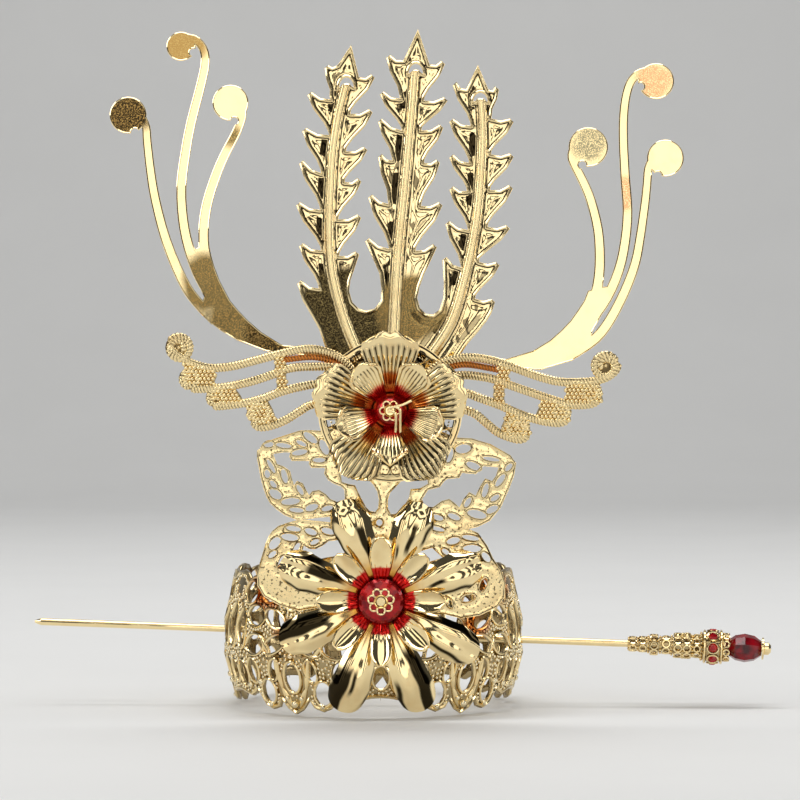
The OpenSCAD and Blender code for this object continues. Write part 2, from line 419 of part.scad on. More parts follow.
module wing(strands, curls, webs, root, eye_y, tongue_from) {
    color(GOLD) {
        translate([0, 0, wing_rise]) sheet(wing_y, strand_t) {
            for (s = strands) polygon(ribbon(spline(s, 3), strand_w, strand_w));
            for (c = curls) translate([c[0], c[1]]) circle(r = c[2], $fn = 12);
            for (w = webs) polygon(w);
            polygon(root);
        }
        sheet(eye_y, foil_t) difference() {
            union() {
                polygon(ribbon([tongue_from, [upper_x, upper_z]], 4, 4));
                translate([upper_x, upper_z]) circle(r = hub_r);
            }
            translate([upper_x, upper_z]) circle(r = hole_r);
        }
    }
}
module wing_left() {
    wing(LEFT_STRANDS, LEFT_CURLS, LEFT_WEBS, LEFT_ROOT, wing_y, [-6.4, 77]);
}
module wing_right() {
    wing(RIGHT_STRANDS, RIGHT_CURLS, RIGHT_WEBS, RIGHT_ROOT, wing_y - strand_t + foil_t, [14.4, 77]);
}

// A flower layer: one shell of a hub ring and its petals. Columns run round the hub, rows outwards.
// petals holds [angle, reach] for each petal, widths [v, half width] with v from 0 at the hub to 1 at
// the tip, and lift(u, v) is the height, with u from -1 to 1 across.
module flower_layer(petals, across, rows, base_angle, hub_in, hub_out, widths, lift, t) {
    count = len(petals);
    cols = across + 1;
    total = count * cols;
    top = [for (row = [-1:rows]) for (i = [0:count - 1]) for (j = [0:across])
        let (u = 2 * j / across - 1, v = max(row, 0) / rows, axis = petals[i][0],
             hub_a = axis + u * base_angle, r = hub_out + (petals[i][1] - hub_out) * v, s = u * lookup(v, widths))
        row < 1 ? concat(polar(row < 0 ? hub_in : hub_out, hub_a), lift(u, 0))
                : concat(polar(r, axis) + polar(s, axis + 90), lift(u, v))];
    points = concat(top, [for (p = top) p - [0, 0, t]]);
    low = len(top);
    function T(row, c) = row * total + c % total;
    function quad(a, b, c, d) = [[a, b, c], [a, c, d]];
    function both(a, b, c, d) = concat(quad(a, b, c, d), quad(d + low, c + low, b + low, a + low));
    function wall(a, b) = quad(a, b, b + low, a + low);
    faces = [
        for (c = [0:total - 1]) each concat(both(T(0, c), T(0, c + 1), T(1, c + 1), T(1, c)),
            wall(T(0, c + 1), T(0, c)), c % cols == across ? wall(T(1, c), T(1, c + 1)) : []),
        for (i = [0:count - 1]) for (row = [1:rows]) for (j = [0:across - 1]) let (c = i * cols + j)
            each concat(both(T(row, c), T(row, c + 1), T(row + 1, c + 1), T(row + 1, c)),
                j == 0 ? wall(T(row, c), T(row + 1, c)) : [],
                j == across - 1 ? wall(T(row + 1, c + 1), T(row, c + 1)) : [],
                row == rows ? wall(T(row + 1, c), T(row + 1, c + 1)) : [])];
    polyhedron(points = points, faces = faces, convexity = 6);
}

// Backing disc: plain rim, pierced between the petals
module upper_backing() {
    color(GOLD) at_flower(upper_x, backing_y, upper_z) difference() {
        cylinder(h = foil_t, r = backing_r);
        for (i = [0:4]) for (side = [-1, 1])
            rotate(54 + i * 72 + side * 6.5) translate([14.1, 0, -1]) cylinder(h = 3, r = 1.2);
        translate([0, 0, -1]) cylinder(h = 3, r = hole_r);
    }
}
module upper_large_petals() {
    widths = [[0, 1.5], [0.3, 3.6], [0.6, 5.8], [0.8, 6.8], [0.92, 6.4], [1, 4.4]];
    color(GOLD) at_flower(upper_x, fan_y, upper_z)
        flower_layer([for (k = [0:4]) [18 + k * 72, fan_reach]], 8, 7, 26, hole_r, 3.6, widths,
            function(u, v) foil_t + 4.2 * pow(v, 1.5) - 0.9 * v * u * u, foil_t);
}
module upper_small_petals() {
    widths = [[0, 1.2], [0.35, 2.8], [0.65, 4.1], [0.85, 3.9], [1, 1.6]];
    color(GOLD) at_flower(upper_x, small_y, upper_z)
        flower_layer([for (k = [0:4]) [54 + k * 72, small_reach]], 6, 6, 26, hole_r, 3.4, widths,
            function(u, v) foil_t + 4.4 * v + 0.5 * v * u * u, foil_t);
}
module upper_dome() {
    color(RED) at_flower(upper_x, upper_dome_y, upper_z) difference() {
        intersection() {
            translate([0, 0, -0.6]) sphere(r = upper_dome_r + 0.05);
            cylinder(h = upper_dome_r, r = upper_dome_r + 1);
        }
        translate([0, 0, -1]) cylinder(h = 8, r = hole_r);
    }
}

// Bead cap: a scalloped plate with a loop in each scallop and a tube in the middle
module bead_cap(r, loops, t, tube_r, tube_h) {
    difference() {
        union() {
            linear_extrude(t) polygon([for (k = [0:loops * 6 - 1])
                polar(r - 0.5 * pow(sin(k * 30), 2), k * 60 / loops)]);
            cylinder(h = tube_h, r = tube_r);
        }
        for (k = [0:loops - 1]) rotate(k * 360 / loops) translate([r * 0.7, 0, -1])
            cylinder(h = 3, r = r * 0.15);
        translate([0, 0, -1]) cylinder(h = tube_h + 2, r = post_r + 0.12);
    }
}
upper_dome_h = upper_dome_r - 0.55;
module upper_cap() {
    color(GOLD) at_flower(upper_x, upper_dome_y - upper_dome_h - 0.1, upper_z)
        bead_cap(2.6, 6, 0.5, 1.5, 0.9);
}
// Bent double wire: from the cap's middle to a slotted bar that hangs down, and a short arm
module upper_wire() {
    color(GOLD) at_flower(upper_x, upper_dome_y - upper_dome_h - 1.2, upper_z) {
        linear_extrude(0.7) difference() {
            polygon([[-0.6, 0.8], [-0.6, -0.4], [0.9, -0.8], [0.9, -4.6], [1.3, -5], [2.3, -5], [2.7, -4.6],
                     [2.7, 0.6], [5.2, 1.9], [4.8, 2.7], [1.6, 1.5]]);
            translate([1.68, -4.2]) square([0.25, 4]);
        }
    }
}
// Rivet from the front face of its round head at head_y forwards to front_y
rivet_head_r = 1.9;
rivet_head_t = 0.6;
module post(x, z, head_y, front_y) {
    color(GOLD) at_flower(x, head_y + rivet_head_t, z) {
        cylinder(h = rivet_head_t, r = rivet_head_r);
        cylinder(h = head_y + rivet_head_t - front_y, r = post_r);
    }
}
module upper_post() {
    lean_shift = (upper_z + rivet_head_r - pivot_z) * tan(lean);
    post(upper_x, upper_z, right_antenna_y + lean_shift + layer_gap, upper_dome_y - upper_dome_h - 0.9);
}

// Spoon petals: [angle, reach]
SPOONS = [[21, 24.6], [67, 24.5], [111, 24.8], [159, 24.8], [203, 25.2], [250, 27.2], [291, 27.2],
          [331, 25.6]];

module lower_large_petals() {
    widths = [[0, 1.1], [0.2, 2.3], [0.5, 3.9], [0.75, spoon_half], [0.92, spoon_half * 0.9],
              [1, spoon_half * 0.55]];
    color(GOLD) at_flower(lower_x, spoon_y, lower_z)
        flower_layer([for (p = SPOONS) [p[0], p[1] * spoon_scale]], 4, 9, 15, hole_r, 4, widths,
            function(u, v) foil_t + 3 * sin(v * 130) - 1.2 * pow(v, 6) + 0.8 * v * (abs(abs(u) - 0.5) < 0.1 ? 1 : 0)
                - 0.3 * v * u * u, foil_t);
}
module lower_small_petals() {
    widths = [[0, 1], [0.35, 2], [0.65, 2.4], [0.85, 1.9], [1, 0.5]];
    color(GOLD) at_flower(lower_x, leaf_cup_y, lower_z)
        flower_layer([for (k = [0:7]) [k * 45, leaf_reach]], 4, 6, 17, hole_r, 4, widths,
            function(u, v) foil_t + 4.4 * v + 0.9 * v * (1 - v) * 4 * u * u, foil_t);
}
lower_dome_h = 2.7;
module lower_dome() {
    r = lower_dome_r;
    color(RED) at_flower(lower_x, lower_dome_y, lower_z) rotate_extrude()
        polygon([[hole_r, 0], [r - 1.5, 0], [r, 1.1], [r, 1.6], [r - 0.7, 2.2], [r - 1.7, 2.5],
                 [hole_r, lower_dome_h]]);
}
module lower_cap() {
    color(GOLD) at_flower(lower_x, lower_dome_y - lower_dome_h - 0.1, lower_z) bead_cap(3.3, 7, 0.6, 1.6, 1.3);
}
module lower_post() {
    inside_r = lookup(lower_z + rivet_head_r, WALL) - cuff_wall;
    post(lower_x, lower_z, layer_gap - inside_r + 0.15, lower_dome_y - lower_dome_h - 1.1);
}

// Hairpin. Its frame has z along the rod towards the head, with zero at the middle of the cuff.
module on_pin() {
    translate([0, 0, pin_z]) rotate([0, pin_dip, -pin_yaw]) rotate([0, 90, 0]) children();
}
head_at = pin_length - tip_to_middle;
crystal_length = 8;
crystal_at = head_at - crystal_length - 1.4;
sleeve_length = 24;
sleeve_at = crystal_at - sleeve_length - 0.1;
stone_at = sleeve_at + 20.4;
stone_count = 8;
bore_r = rod_d / 2 + 0.1;
// Sleeve: [distance from its thin end, radius]
SLEEVE = [[0, 1.3], [0.8, 1.9], [2.2, 1.5], [4, 1.7], [6.4, 2.6], [8.2, 2], [10.4, 2.1], [12.6, 3.1], [14.6, 3.1],
          [16, 2.3], [17.6, 3.1], [18.4, 4.1], [18.9, 3.6], [21.9, 3.6], [22.4, 4.2], [23.4, 3.6], [24, 2.4]];

module pin_rod() {
    color(GOLD) on_pin() {
        translate([0, 0, 1.5 - tip_to_middle]) cylinder(h = pin_length - 2.5, d = rod_d);
        translate([0, 0, -tip_to_middle]) cylinder(h = 1.5, d1 = 0.6, d2 = rod_d);
    }
}
module pin_sleeve() {
    color(GOLD) on_pin() translate([0, 0, sleeve_at]) rotate_extrude()
        polygon(concat([[bore_r, 0]], [for (s = SLEEVE) [s[1], s[0]]], [[bore_r, sleeve_length]]));
}
// Cut stones in a ring round the sleeve, each with a table and eight sloping sides
module pin_stones() {
    color(RED) on_pin() translate([0, 0, stone_at]) for (k = [0:stone_count - 1])
        rotate([0, 0, k * 360 / stone_count]) translate([3.7, 0, 0]) rotate([0, 90, 0])
            cylinder(h = 0.6, r1 = 1.15, r2 = 0.7, $fn = 8);
}
// Cut crystal: a faceted barrel on the rod
module pin_crystal() {
    color(WINE) on_pin() translate([0, 0, crystal_at]) rotate_extrude($fn = 10)
        polygon([[bore_r + 0.05, 0], [1.8, 0], [3, 1.7], [3.45, 4], [3, 6.3], [1.8, crystal_length],
                 [bore_r + 0.05, crystal_length]]);
}
module pin_end_cap() {
    color(GOLD) on_pin() translate([0, 0, crystal_at + crystal_length + 0.1]) rotate_extrude()
        polygon([[bore_r, 0], [2.6, 0], [2.7, 0.4], [1.5, 0.7], [1.5, 1.6], [0.9, 2.2], [0, 2.2],
                 [0, 1.4], [bore_r, 1.4]]);
}

cuff();
leaf_panel();
plume();
antenna_left();
antenna_right();
wing_left();
wing_right();
upper_backing();
upper_large_petals();
upper_small_petals();
upper_dome();
upper_cap();
upper_wire();
upper_post();
lower_large_petals();
lower_small_petals();
lower_dome();
lower_cap();
lower_post();
pin_rod();
pin_sleeve();
pin_stones();
pin_crystal();
pin_end_cap();
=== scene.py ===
# %% [markdown]
# # Hair crown
# The crown is pierced and stamped sheet metal with a bright gold plating. The solids were modelled as
# CAD, in millimetres, and are loaded here as a fixed frame in metres: +Z is up, the front faces -Y and
# the origin is the centre of the cuff's lower rim. What is stamped plainly keeps its CAD solid and gets
# a finish. What has beads, ribs, ropes or twisted wire is modelled again, finer, in the same place.

# %% Load the frame
import math
from itertools import product

import bmesh
import bpy
from mathutils import Matrix, Vector
from mathutils.kdtree import KDTree


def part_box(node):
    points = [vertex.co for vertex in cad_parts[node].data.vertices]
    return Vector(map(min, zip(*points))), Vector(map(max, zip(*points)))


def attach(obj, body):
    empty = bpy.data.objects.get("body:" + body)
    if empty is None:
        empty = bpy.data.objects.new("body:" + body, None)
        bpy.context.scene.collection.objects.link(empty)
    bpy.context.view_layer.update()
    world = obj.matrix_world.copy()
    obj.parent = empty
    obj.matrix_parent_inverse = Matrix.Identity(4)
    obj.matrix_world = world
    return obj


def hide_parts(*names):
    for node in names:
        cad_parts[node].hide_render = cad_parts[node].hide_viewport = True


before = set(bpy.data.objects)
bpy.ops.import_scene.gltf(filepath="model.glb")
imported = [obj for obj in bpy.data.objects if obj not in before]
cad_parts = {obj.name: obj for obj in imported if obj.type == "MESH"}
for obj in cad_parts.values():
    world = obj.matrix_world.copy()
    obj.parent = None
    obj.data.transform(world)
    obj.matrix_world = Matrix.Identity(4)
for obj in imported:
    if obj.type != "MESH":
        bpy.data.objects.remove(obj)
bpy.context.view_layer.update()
MM = 0.001

# %% [markdown]
# ## Camera
# The photograph is taken straight from the front, from a little above, through a long lens. The lens is
# given by the size of the object in the picture at a distance of 0.9 m, and the camera looks at the
# middle of the picture, which is a point on the cuff's axis.

# %% Camera
CAMERA_DISTANCE = 0.9
SENSOR_MM, LENS_MM = 36, 167.4
CAMERA_RISE = math.radians(1)
LOOK_AT = Vector((6.4, 0, 73.5)) * MM

camera = bpy.data.objects.new("camera", bpy.data.cameras.new("camera"))
camera.data.sensor_width = SENSOR_MM
camera.data.lens = LENS_MM
camera.location = LOOK_AT + CAMERA_DISTANCE * Vector((0, -math.cos(CAMERA_RISE), math.sin(CAMERA_RISE)))
camera.rotation_euler = (math.pi / 2 - CAMERA_RISE, 0, 0)
bpy.context.collection.objects.link(camera)
bpy.context.scene.camera = camera
print("camera", [round(v, 3) for v in camera.location], "lens", camera.data.lens)

# %% [markdown]
# ## Materials as expressions
# A finish is a small net of shader nodes. Writing it as Python expressions keeps it readable: a `Value`
# wraps one socket, sums and products with it add Math nodes, and `Finish.node` adds any other node. The
# plain numbers of a finish are set on the shader's own sockets.

# %% Value and Finish
class Value:
    """A socket that can be calculated with."""

    def __init__(self, finish, socket):
        self.finish, self.socket = finish, socket

    def math(self, operation, *others, flip=False):
        """One Math node, or a row of them when there are several others."""
        if len(others) > 1:
            return self.math(operation, others[0]).math(operation, *others[1:])
        terms = [*others, self] if flip else [self, *others]
        return self.finish.node("ShaderNodeMath", {"operation": operation}, dict(enumerate(terms)))

    def __add__(self, other): return self.math("ADD", other)
    def __radd__(self, other): return self.math("ADD", other, flip=True)
    def __sub__(self, other): return self.math("SUBTRACT", other)
    def __rsub__(self, other): return self.math("SUBTRACT", other, flip=True)
    def __mul__(self, other): return self.math("MULTIPLY", other)
    def __rmul__(self, other): return self.math("MULTIPLY", other, flip=True)
    def __pow__(self, other): return self.math("POWER", other)

    def between(self, low, high):
        """0 below low, 1 above high, smooth in between."""
        return self.finish.node("ShaderNodeMapRange", {"interpolation_type": "SMOOTHSTEP", "clamp": True},
                                {"Value": self, "From Min": low, "From Max": high})


class Finish:
    """A node material under construction. Constants are set on the shader's own sockets."""

    def __init__(self, name, **constants):
        self.material = bpy.data.materials.new(name)
        self.material.use_nodes = True
        self.tree = self.material.node_tree
        self.shader = self.tree.nodes["Principled BSDF"]
        for socket, value in constants.items():
            self.shader.inputs[socket.replace("_", " ")].default_value = value

    def node(self, kind, settings=None, inputs=None, output=0):
        """Any other node: its type, settings, the values or links of its sockets, and the output wanted."""
        made = self.tree.nodes.new(kind)
        for name, value in (settings or {}).items():
            setattr(made, name, value)
        for name, value in (inputs or {}).items():
            if isinstance(value, Value):
                self.tree.links.new(value.socket, made.inputs[name])
            else:
                made.inputs[name].default_value = value
        return Value(self, made.outputs[output])

    def place(self):
        return self.node("ShaderNodeTexCoord", output="Object")

    def axis(self, name, place=None):
        """One coordinate of a place, in metres."""
        return self.node("ShaderNodeSeparateXYZ", inputs={0: place or self.place()}, output=name)

    def noise(self, size_mm, detail=3, stretch=(1, 1, 1)):
        """Noise from 0 to 1 whose lumps are about size_mm across."""
        turned = self.node("ShaderNodeMapping", inputs={"Vector": self.place(), "Scale": stretch})
        return self.node("ShaderNodeTexNoise", inputs={
            "Vector": turned, "Scale": 1 / (size_mm * MM), "Detail": detail})

    def clouds(self, size_mm, amount):
        """Soft clouds from 0 to an amount."""
        return self.noise(size_mm, detail=5).between(0.45, 0.75) * amount

    def told(self, name):
        """A number that the piece's own points carry under a name."""
        return self.node("ShaderNodeAttribute", {"attribute_name": name}, output="Fac")

    def shade(self):
        """How deep in a hollow a point lies, from 0 to 1."""
        return self.told("shade")

    def away(self, x_mm, z_mm):
        """Distance in mm from a line that runs from the front to the back through (x, z)."""
        moved = self.node("ShaderNodeMapping", inputs={"Vector": self.place(),
                                                       "Location": Vector((-x_mm, 0, -z_mm)) * MM})
        x, z = self.axis("X", moved), self.axis("Z", moved)
        return (x * x + z * z) ** 0.5 * (1 / MM)

    def blend(self, amount, first, second):
        """Mixes two colours, each four numbers or a Value."""
        return self.node("ShaderNodeMix", {"data_type": "RGBA"}, {0: amount, 6: first, 7: second}, output=2)

    def use(self, **inputs):
        """Links varying values to the shader's sockets."""
        for name, value in inputs.items():
            self.tree.links.new(value.socket, self.shader.inputs[name.replace("_", " ")])
        return self.material

    def bump(self, height, depth_mm):
        """A normal from a height and how many mm the height means."""
        return self.node("ShaderNodeBump", inputs={"Height": height, "Distance": depth_mm * MM})


def colour(red, green, blue):
    return (red, green, blue, 1)

# %% [markdown]
# ## The gold platings
# All metal is plated the same bright gold, but it doesn't look the same everywhere. Stamped sheet is a
# mirror with faint waves from the press. Cast filigree is duller. Every plating paints its hollows dark,
# as painted shade. The points of a finer piece carry numbers that its finish reads: `shade`, from 0 on
# rims and crests to 1 in hollows and fields, which says where shade and dark reflections are painted,
# `rim`, the distance in mm from the sheet's edge, and `across`, the distance in mm from the plume's
# nearest midrib. Each plating is one finish with a few numbers changed.

# %% Gold
PALE_GOLD = colour(0.98, 0.79, 0.43)
DEEP_GOLD = colour(0.78, 0.50, 0.20)
# The colours of painted shade in hollows and of painted dark reflections
DARK_GOLD, BLACKISH = colour(0.10, 0.062, 0.02), colour(0.03, 0.022, 0.01)
CLOUD_MM, RAGGED_MM = 6, 3
BARB_MM = 10.4  # the height of one of the plume's barbs, at which its dark patches repeat


def plating(name, light=PALE_GOLD, dark=DEEP_GOLD, roughness=0.12, wear=0.5, wave_mm=9, wave_depth=0.06,
            grain_mm=0.5, grain_depth=0.004, hollow=DARK_GOLD, tints=(), tint_y_mm=None, pits=0.0):
    """Gold plating: colour clouds, tints, painted shade in hollows and pits, waves and grain.

    A tint is (x, z, radius in mm, colour). With tint_y_mm it shows only in front of that y.
    """
    finish = Finish(name, Metallic=1.0)
    specks = finish.noise(grain_mm, detail=4)
    stain = finish.clouds(CLOUD_MM, wear)
    waves = finish.bump(finish.noise(wave_mm, detail=1), wave_depth)
    fine = finish.node("ShaderNodeBump", inputs={"Height": specks, "Distance": grain_depth * MM,
                                                 "Normal": waves})
    metal = finish.blend(stain, light, dark)
    for x, z, radius, tint in tints:
        ragged = finish.away(x, z) + RAGGED_MM * (finish.noise(CLOUD_MM, detail=5) - 0.5)
        near = 1 - ragged.between(radius - 1.5, radius + 1.5)
        if tint_y_mm is not None:
            near = near * (1 - finish.axis("Y").between((tint_y_mm - 0.05) * MM, (tint_y_mm + 0.05) * MM))
        metal = finish.blend(near, metal, tint)
    # Painted shade: hollows, and with pits small spots away from the edges, take the hollow colour
    deep = finish.shade()
    if pits:
        pit = finish.noise(0.7, detail=1).between(0.60, 0.64) * finish.told("rim").between(0.35, 0.45)
        deep = deep.math("MAXIMUM", pit * pits)
    return finish.use(Base_Color=finish.blend(deep, metal, hollow),
                      Roughness=roughness + 0.10 * specks + 0.10 * stain, Normal=fine)


def painted_reflection_sheet(name, zones, patches=0.0):
    """Polished sheet with a painted shade line inside its rim, painted dark reflections in crisp spots and
    streaks, and speckled zones of painted reflection.

    A zone is (x, z, radius in mm, dark colour, light colour). Rims, whose shade is 0, stay bright.
    """
    finish = Finish(name, Metallic=1.0)
    field, rim, across = finish.shade(), finish.told("rim"), finish.told("across")
    lumps = finish.noise(5, detail=1.5, stretch=(1, 1, 0.5))
    tone = finish.blend(finish.clouds(CLOUD_MM, 0.3), PALE_GOLD, DEEP_GOLD)
    # A painted shade line inside the rim, and painted dark reflections in spots beside the midribs and in
    # streaks
    if patches:
        line = rim.between(0.62, 0.7) * (1 - rim.between(0.88, 0.96))
        wobble = finish.noise(2.5, detail=2)
        wave = (finish.axis("Z") * (2 * math.pi / (BARB_MM * MM)) + 5 * wobble).math("SINE")
        beside = (1 - (across + 2.2 * (wobble - 0.5)).between(-1.1, -1.0)) * across.between(-3.2, -3.0)
        patch = wave.between(-0.35, -0.25) * beside * rim.between(1.0, 1.1)
        streak = finish.noise(1.8, detail=1, stretch=(1, 1, 0.4)).between(0.62, 0.64)
        streak = streak * rim.between(1.1, 1.2)
        tone = finish.blend(line.math("MAXIMUM", patch, streak * 0.8) * patches, tone, BLACKISH)
    speckle = finish.noise(0.28, detail=3).between(0.46, 0.62)
    rough = 0.04 + 0.06 * speckle + 0.16 * (1 - field) * patches
    # Zones of painted reflection, speckled, inside the rims
    for x, z, radius, dark, light in zones:
        ragged = finish.away(x, z) + 4 * (lumps - 0.5)
        inside = (1 - ragged.between(radius - 1.5, radius + 1)) * field
        tone = finish.blend(inside, tone, finish.blend(speckle, dark, light))
        rough = rough + 0.15 * inside
    return finish.use(Base_Color=tone, Roughness=rough, Normal=finish.bump(finish.noise(14, detail=1), 0.2))


mirror_gold = plating("mirror gold", roughness=0.03, wear=0.25, wave_mm=14, wave_depth=0.25)
stamped_gold = plating("stamped gold", roughness=0.08, wear=0.45)
cast_gold = plating("cast gold", roughness=0.16, wear=0.7, grain_mm=0.35, grain_depth=0.02)
print("platings:", [m.name for m in (mirror_gold, stamped_gold, cast_gold)])

# %% [markdown]
# ## Red lacquer and stones
# The flowers' centres are a clear red lacquer over metal. It is darkest where it lies thick in the
# middle, and has a hard gloss. The pin's stones and crystal are dark red glass.

# %% Reds
def lacquer(name, light, dark):
    """Clear red lacquer over metal, darker where it lies thick."""
    finish = Finish(name, Coat_Weight=0.45, Coat_Roughness=0.03, Roughness=0.22, Metallic=0.8)
    depth = finish.noise(2.2, detail=3).between(0.35, 0.7)
    ripple = finish.bump(finish.noise(1.6, detail=2), 0.03)
    return finish.use(Base_Color=finish.blend(depth, light, dark), Normal=ripple)


def red_glass(name, light, dark):
    """Dark red cut glass."""
    finish = Finish(name, Roughness=0.03, IOR=1.5, Coat_Weight=0.2, Coat_Roughness=0.02)
    depth = finish.noise(2.5, detail=2).between(0.3, 0.7)
    return finish.use(Base_Color=finish.blend(depth, light, dark),
                      Roughness=0.02 + 0.06 * finish.noise(0.6))


red_lacquer = lacquer("red lacquer", colour(0.50, 0.008, 0.008), colour(0.16, 0.0, 0.003))
stone_red = red_glass("stone red", colour(0.62, 0.006, 0.008), colour(0.22, 0.0, 0.004))
crystal_red = red_glass("crystal red", colour(0.30, 0.002, 0.008), colour(0.05, 0.0, 0.002))

print("reds:", [m.name for m in (red_lacquer, stone_red, crystal_red)])

# %% Finishes of the CAD's solids
# Solids that a finer piece replaces further down are finished too, so that none is left bare. The
# backing disc has painted shade in front, behind the petals' slots, and is bright at its rim and its back.
BACKING_PAINTED_SHADE = [(4.1, 71.8, 15.4, BLACKISH)]
backing_gold = plating("backing gold", roughness=0.1, tints=BACKING_PAINTED_SHADE, tint_y_mm=-37.75)
KEPT = {
    backing_gold: ["upper_backing"],
    mirror_gold: ["antenna_left", "antenna_right", "plume", "pin_rod", "lower_large_petals"],
    stamped_gold: ["leaf_panel", "upper_large_petals", "upper_small_petals", "lower_small_petals",
                   "upper_cap", "upper_wire", "upper_post", "lower_cap", "lower_post", "pin_end_cap"],
    cast_gold: ["cuff", "wing_left", "wing_right", "pin_sleeve"],
    red_lacquer: ["upper_dome", "lower_dome"],
    stone_red: ["pin_stones"],
    crystal_red: ["pin_crystal"]}
for material, names in KEPT.items():
    for name in names:
        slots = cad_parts[name].data.materials
        slots.clear()
        slots.append(material)
print("finished:", sum(map(len, KEPT.values())), "nodes")

# %% [markdown]
# ## Tools for the finer pieces
# Every piece below is one mesh whose object stays at the origin. `finish_piece` turns a bmesh into such
# an object, hangs it on its CAD body and hides the CAD node that it stands for. `wire` sweeps a round
# wire along rows of points with a bevelled curve, which is how all wire frames and rims are made.

# %% Helpers: pieces and wires
def finish_piece(bm, name, body, material, replaces=(), crease=40):
    """Turns a bmesh into a piece on a CAD body, smooth but for edges sharper than crease degrees."""
    if bm.calc_volume(signed=True) < 0:
        bmesh.ops.reverse_faces(bm, faces=bm.faces[:])
    mesh = bpy.data.meshes.new(name)
    bm.to_mesh(mesh)
    bm.free()
    mesh.shade_smooth()
    mesh.set_sharp_from_angle(angle=math.radians(crease))
    mesh.materials.append(material)
    made = bpy.data.objects.new(name, mesh)
    bpy.context.collection.objects.link(made)
    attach(made, body)
    if replaces:
        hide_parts(*replaces)
    print(name, "faces", len(mesh.polygons))


def wire(bm, rows, radius_mm, closed=True, sides=1):
    """Adds a round wire along each row of points, given in metres, to the bmesh."""
    curve = bpy.data.curves.new("wire", "CURVE")
    curve.dimensions = "3D"
    curve.bevel_depth = radius_mm * MM
    curve.bevel_resolution = sides
    curve.use_fill_caps = not closed
    for row in rows:
        spline = curve.splines.new("POLY")
        spline.points.add(len(row) - 1)
        for point, place in zip(spline.points, row):
            point.co = (*place, 1)
        spline.use_cyclic_u = closed
    holder = bpy.data.objects.new("wire", curve)
    bpy.context.collection.objects.link(holder)
    seen = holder.evaluated_get(bpy.context.evaluated_depsgraph_get())
    mesh = bpy.data.meshes.new_from_object(seen)
    bm.from_mesh(mesh)
    bpy.data.objects.remove(holder)
    bpy.data.curves.remove(curve)
    bpy.data.meshes.remove(mesh)


BATCH = 24


def add_beads(bm, places, radius_mm, round_u=8, round_v=5):
    """Adds small spheres. They are made a few at a time, because an operator walks its whole bmesh."""
    for k in range(0, len(places), BATCH):
        part = bmesh.new()
        for place in places[k:k + BATCH]:
            bmesh.ops.create_uvsphere(part, u_segments=round_u, v_segments=round_v, radius=radius_mm * MM,
                                      matrix=Matrix.Translation(place))
        add_part(bm, part)


def add_part(bm, part):
    """Joins a finished closed part, its faces turned outwards, to a piece."""
    if part.calc_volume(signed=True) < 0:
        bmesh.ops.reverse_faces(part, faces=part.faces[:])
    mesh = bpy.data.meshes.new("part")
    part.to_mesh(mesh)
    part.free()
    bm.from_mesh(mesh)
    bpy.data.meshes.remove(mesh)


def spoke(turn):
    """The direction at a turn round an axis that points to the front."""
    return math.cos(turn) * RIGHT + math.sin(turn) * UP


def ring_row(centre, radius_mm, count):
    """Points of a circle round an axis that points to the front."""
    return [centre + radius_mm * MM * spoke(k * 2 * math.pi / count) for k in range(count)]


def pushed_back(rows, depth_mm):
    """Rows of points, moved to the back by some mm."""
    return [[p + Vector((0, depth_mm * MM, 0)) for p in row] for row in rows]


def along(table, at):
    """Reads a table of (place, value) rows by straight lines between them."""
    for (a, low), (b, high) in zip(table, table[1:]):
        if at <= b:
            return low + (high - low) * max(at - a, 0) / (b - a)
    return table[-1][1]


def smooth_step(low, high, value):
    """0 at low, 1 at high, smooth in between; high may be the smaller of the two."""
    t = min(max((value - low) / (high - low), 0), 1)
    return t * t * (3 - 2 * t)


def smooth_row(row, per=8):
    """Catmull-Rom points through a row of (x, z) pairs in mm."""
    points = [Vector(p) for p in row]
    found = []
    for i in range(len(points) - 1):
        a, b, c, d = points[max(i - 1, 0)], points[i], points[i + 1], points[min(i + 2, len(points) - 1)]
        for k in range(per):
            t = k / per
            found.append((2 * b + t * (c - a) + t * t * (2 * a - 5 * b + 4 * c - d)
                          + t ** 3 * (3 * b - a - 3 * c + d)) / 2)
    return found + [points[-1]]


RIGHT, UP, FRONT = Vector((1, 0, 0)), Vector((0, 0, 1)), Vector((0, -1, 0))

# %% [markdown]
# ## Stamped sheets: plume and leaf panel
# On the real crown these are thin brass sheets pressed in a die: every edge has a raised round rim, and
# the field between the rims is sunk and a little crowned, which is why it catches light and dark side
# by side. The outline is the CAD's own. A copy of the CAD mesh is merged, cut by a lattice of planes so
# that its front has points to move, and sunk by each point's distance from the nearest edge. The rims
# are wires along the outline, inset by their own radius.

# %% Helpers: a relief from a flat sheet
def merged_copy(node):
    """A CAD node's mesh with its loose triangles joined."""
    bm = bmesh.new()
    bm.from_mesh(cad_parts[node].data)
    bmesh.ops.remove_doubles(bm, verts=bm.verts[:], dist=0.002 * MM)
    return bm


def front_faces(bm, front_y):
    """The faces of a sheet's flat front."""
    return [f for f in bm.faces
            if f.normal.y < -0.99 and abs(f.calc_center_median().y - front_y) < 0.05 * MM]


def chains(edges):
    """Sorts edges into closed rows of points. A dict keeps their order the same in every run."""
    left, rows = dict.fromkeys(edges), []
    while left:
        edge, _ = left.popitem()
        first, last = edge.verts
        row = [first.co.copy(), last.co.copy()]
        while last is not first:
            step = next((e for e in last.link_edges if e in left), None)
            if step is None:
                break
            del left[step]
            last = step.other_vert(last)
            if last is not first:
                row.append(last.co.copy())
        if last is first and len(row) > 4:
            rows.append(row)
    return rows


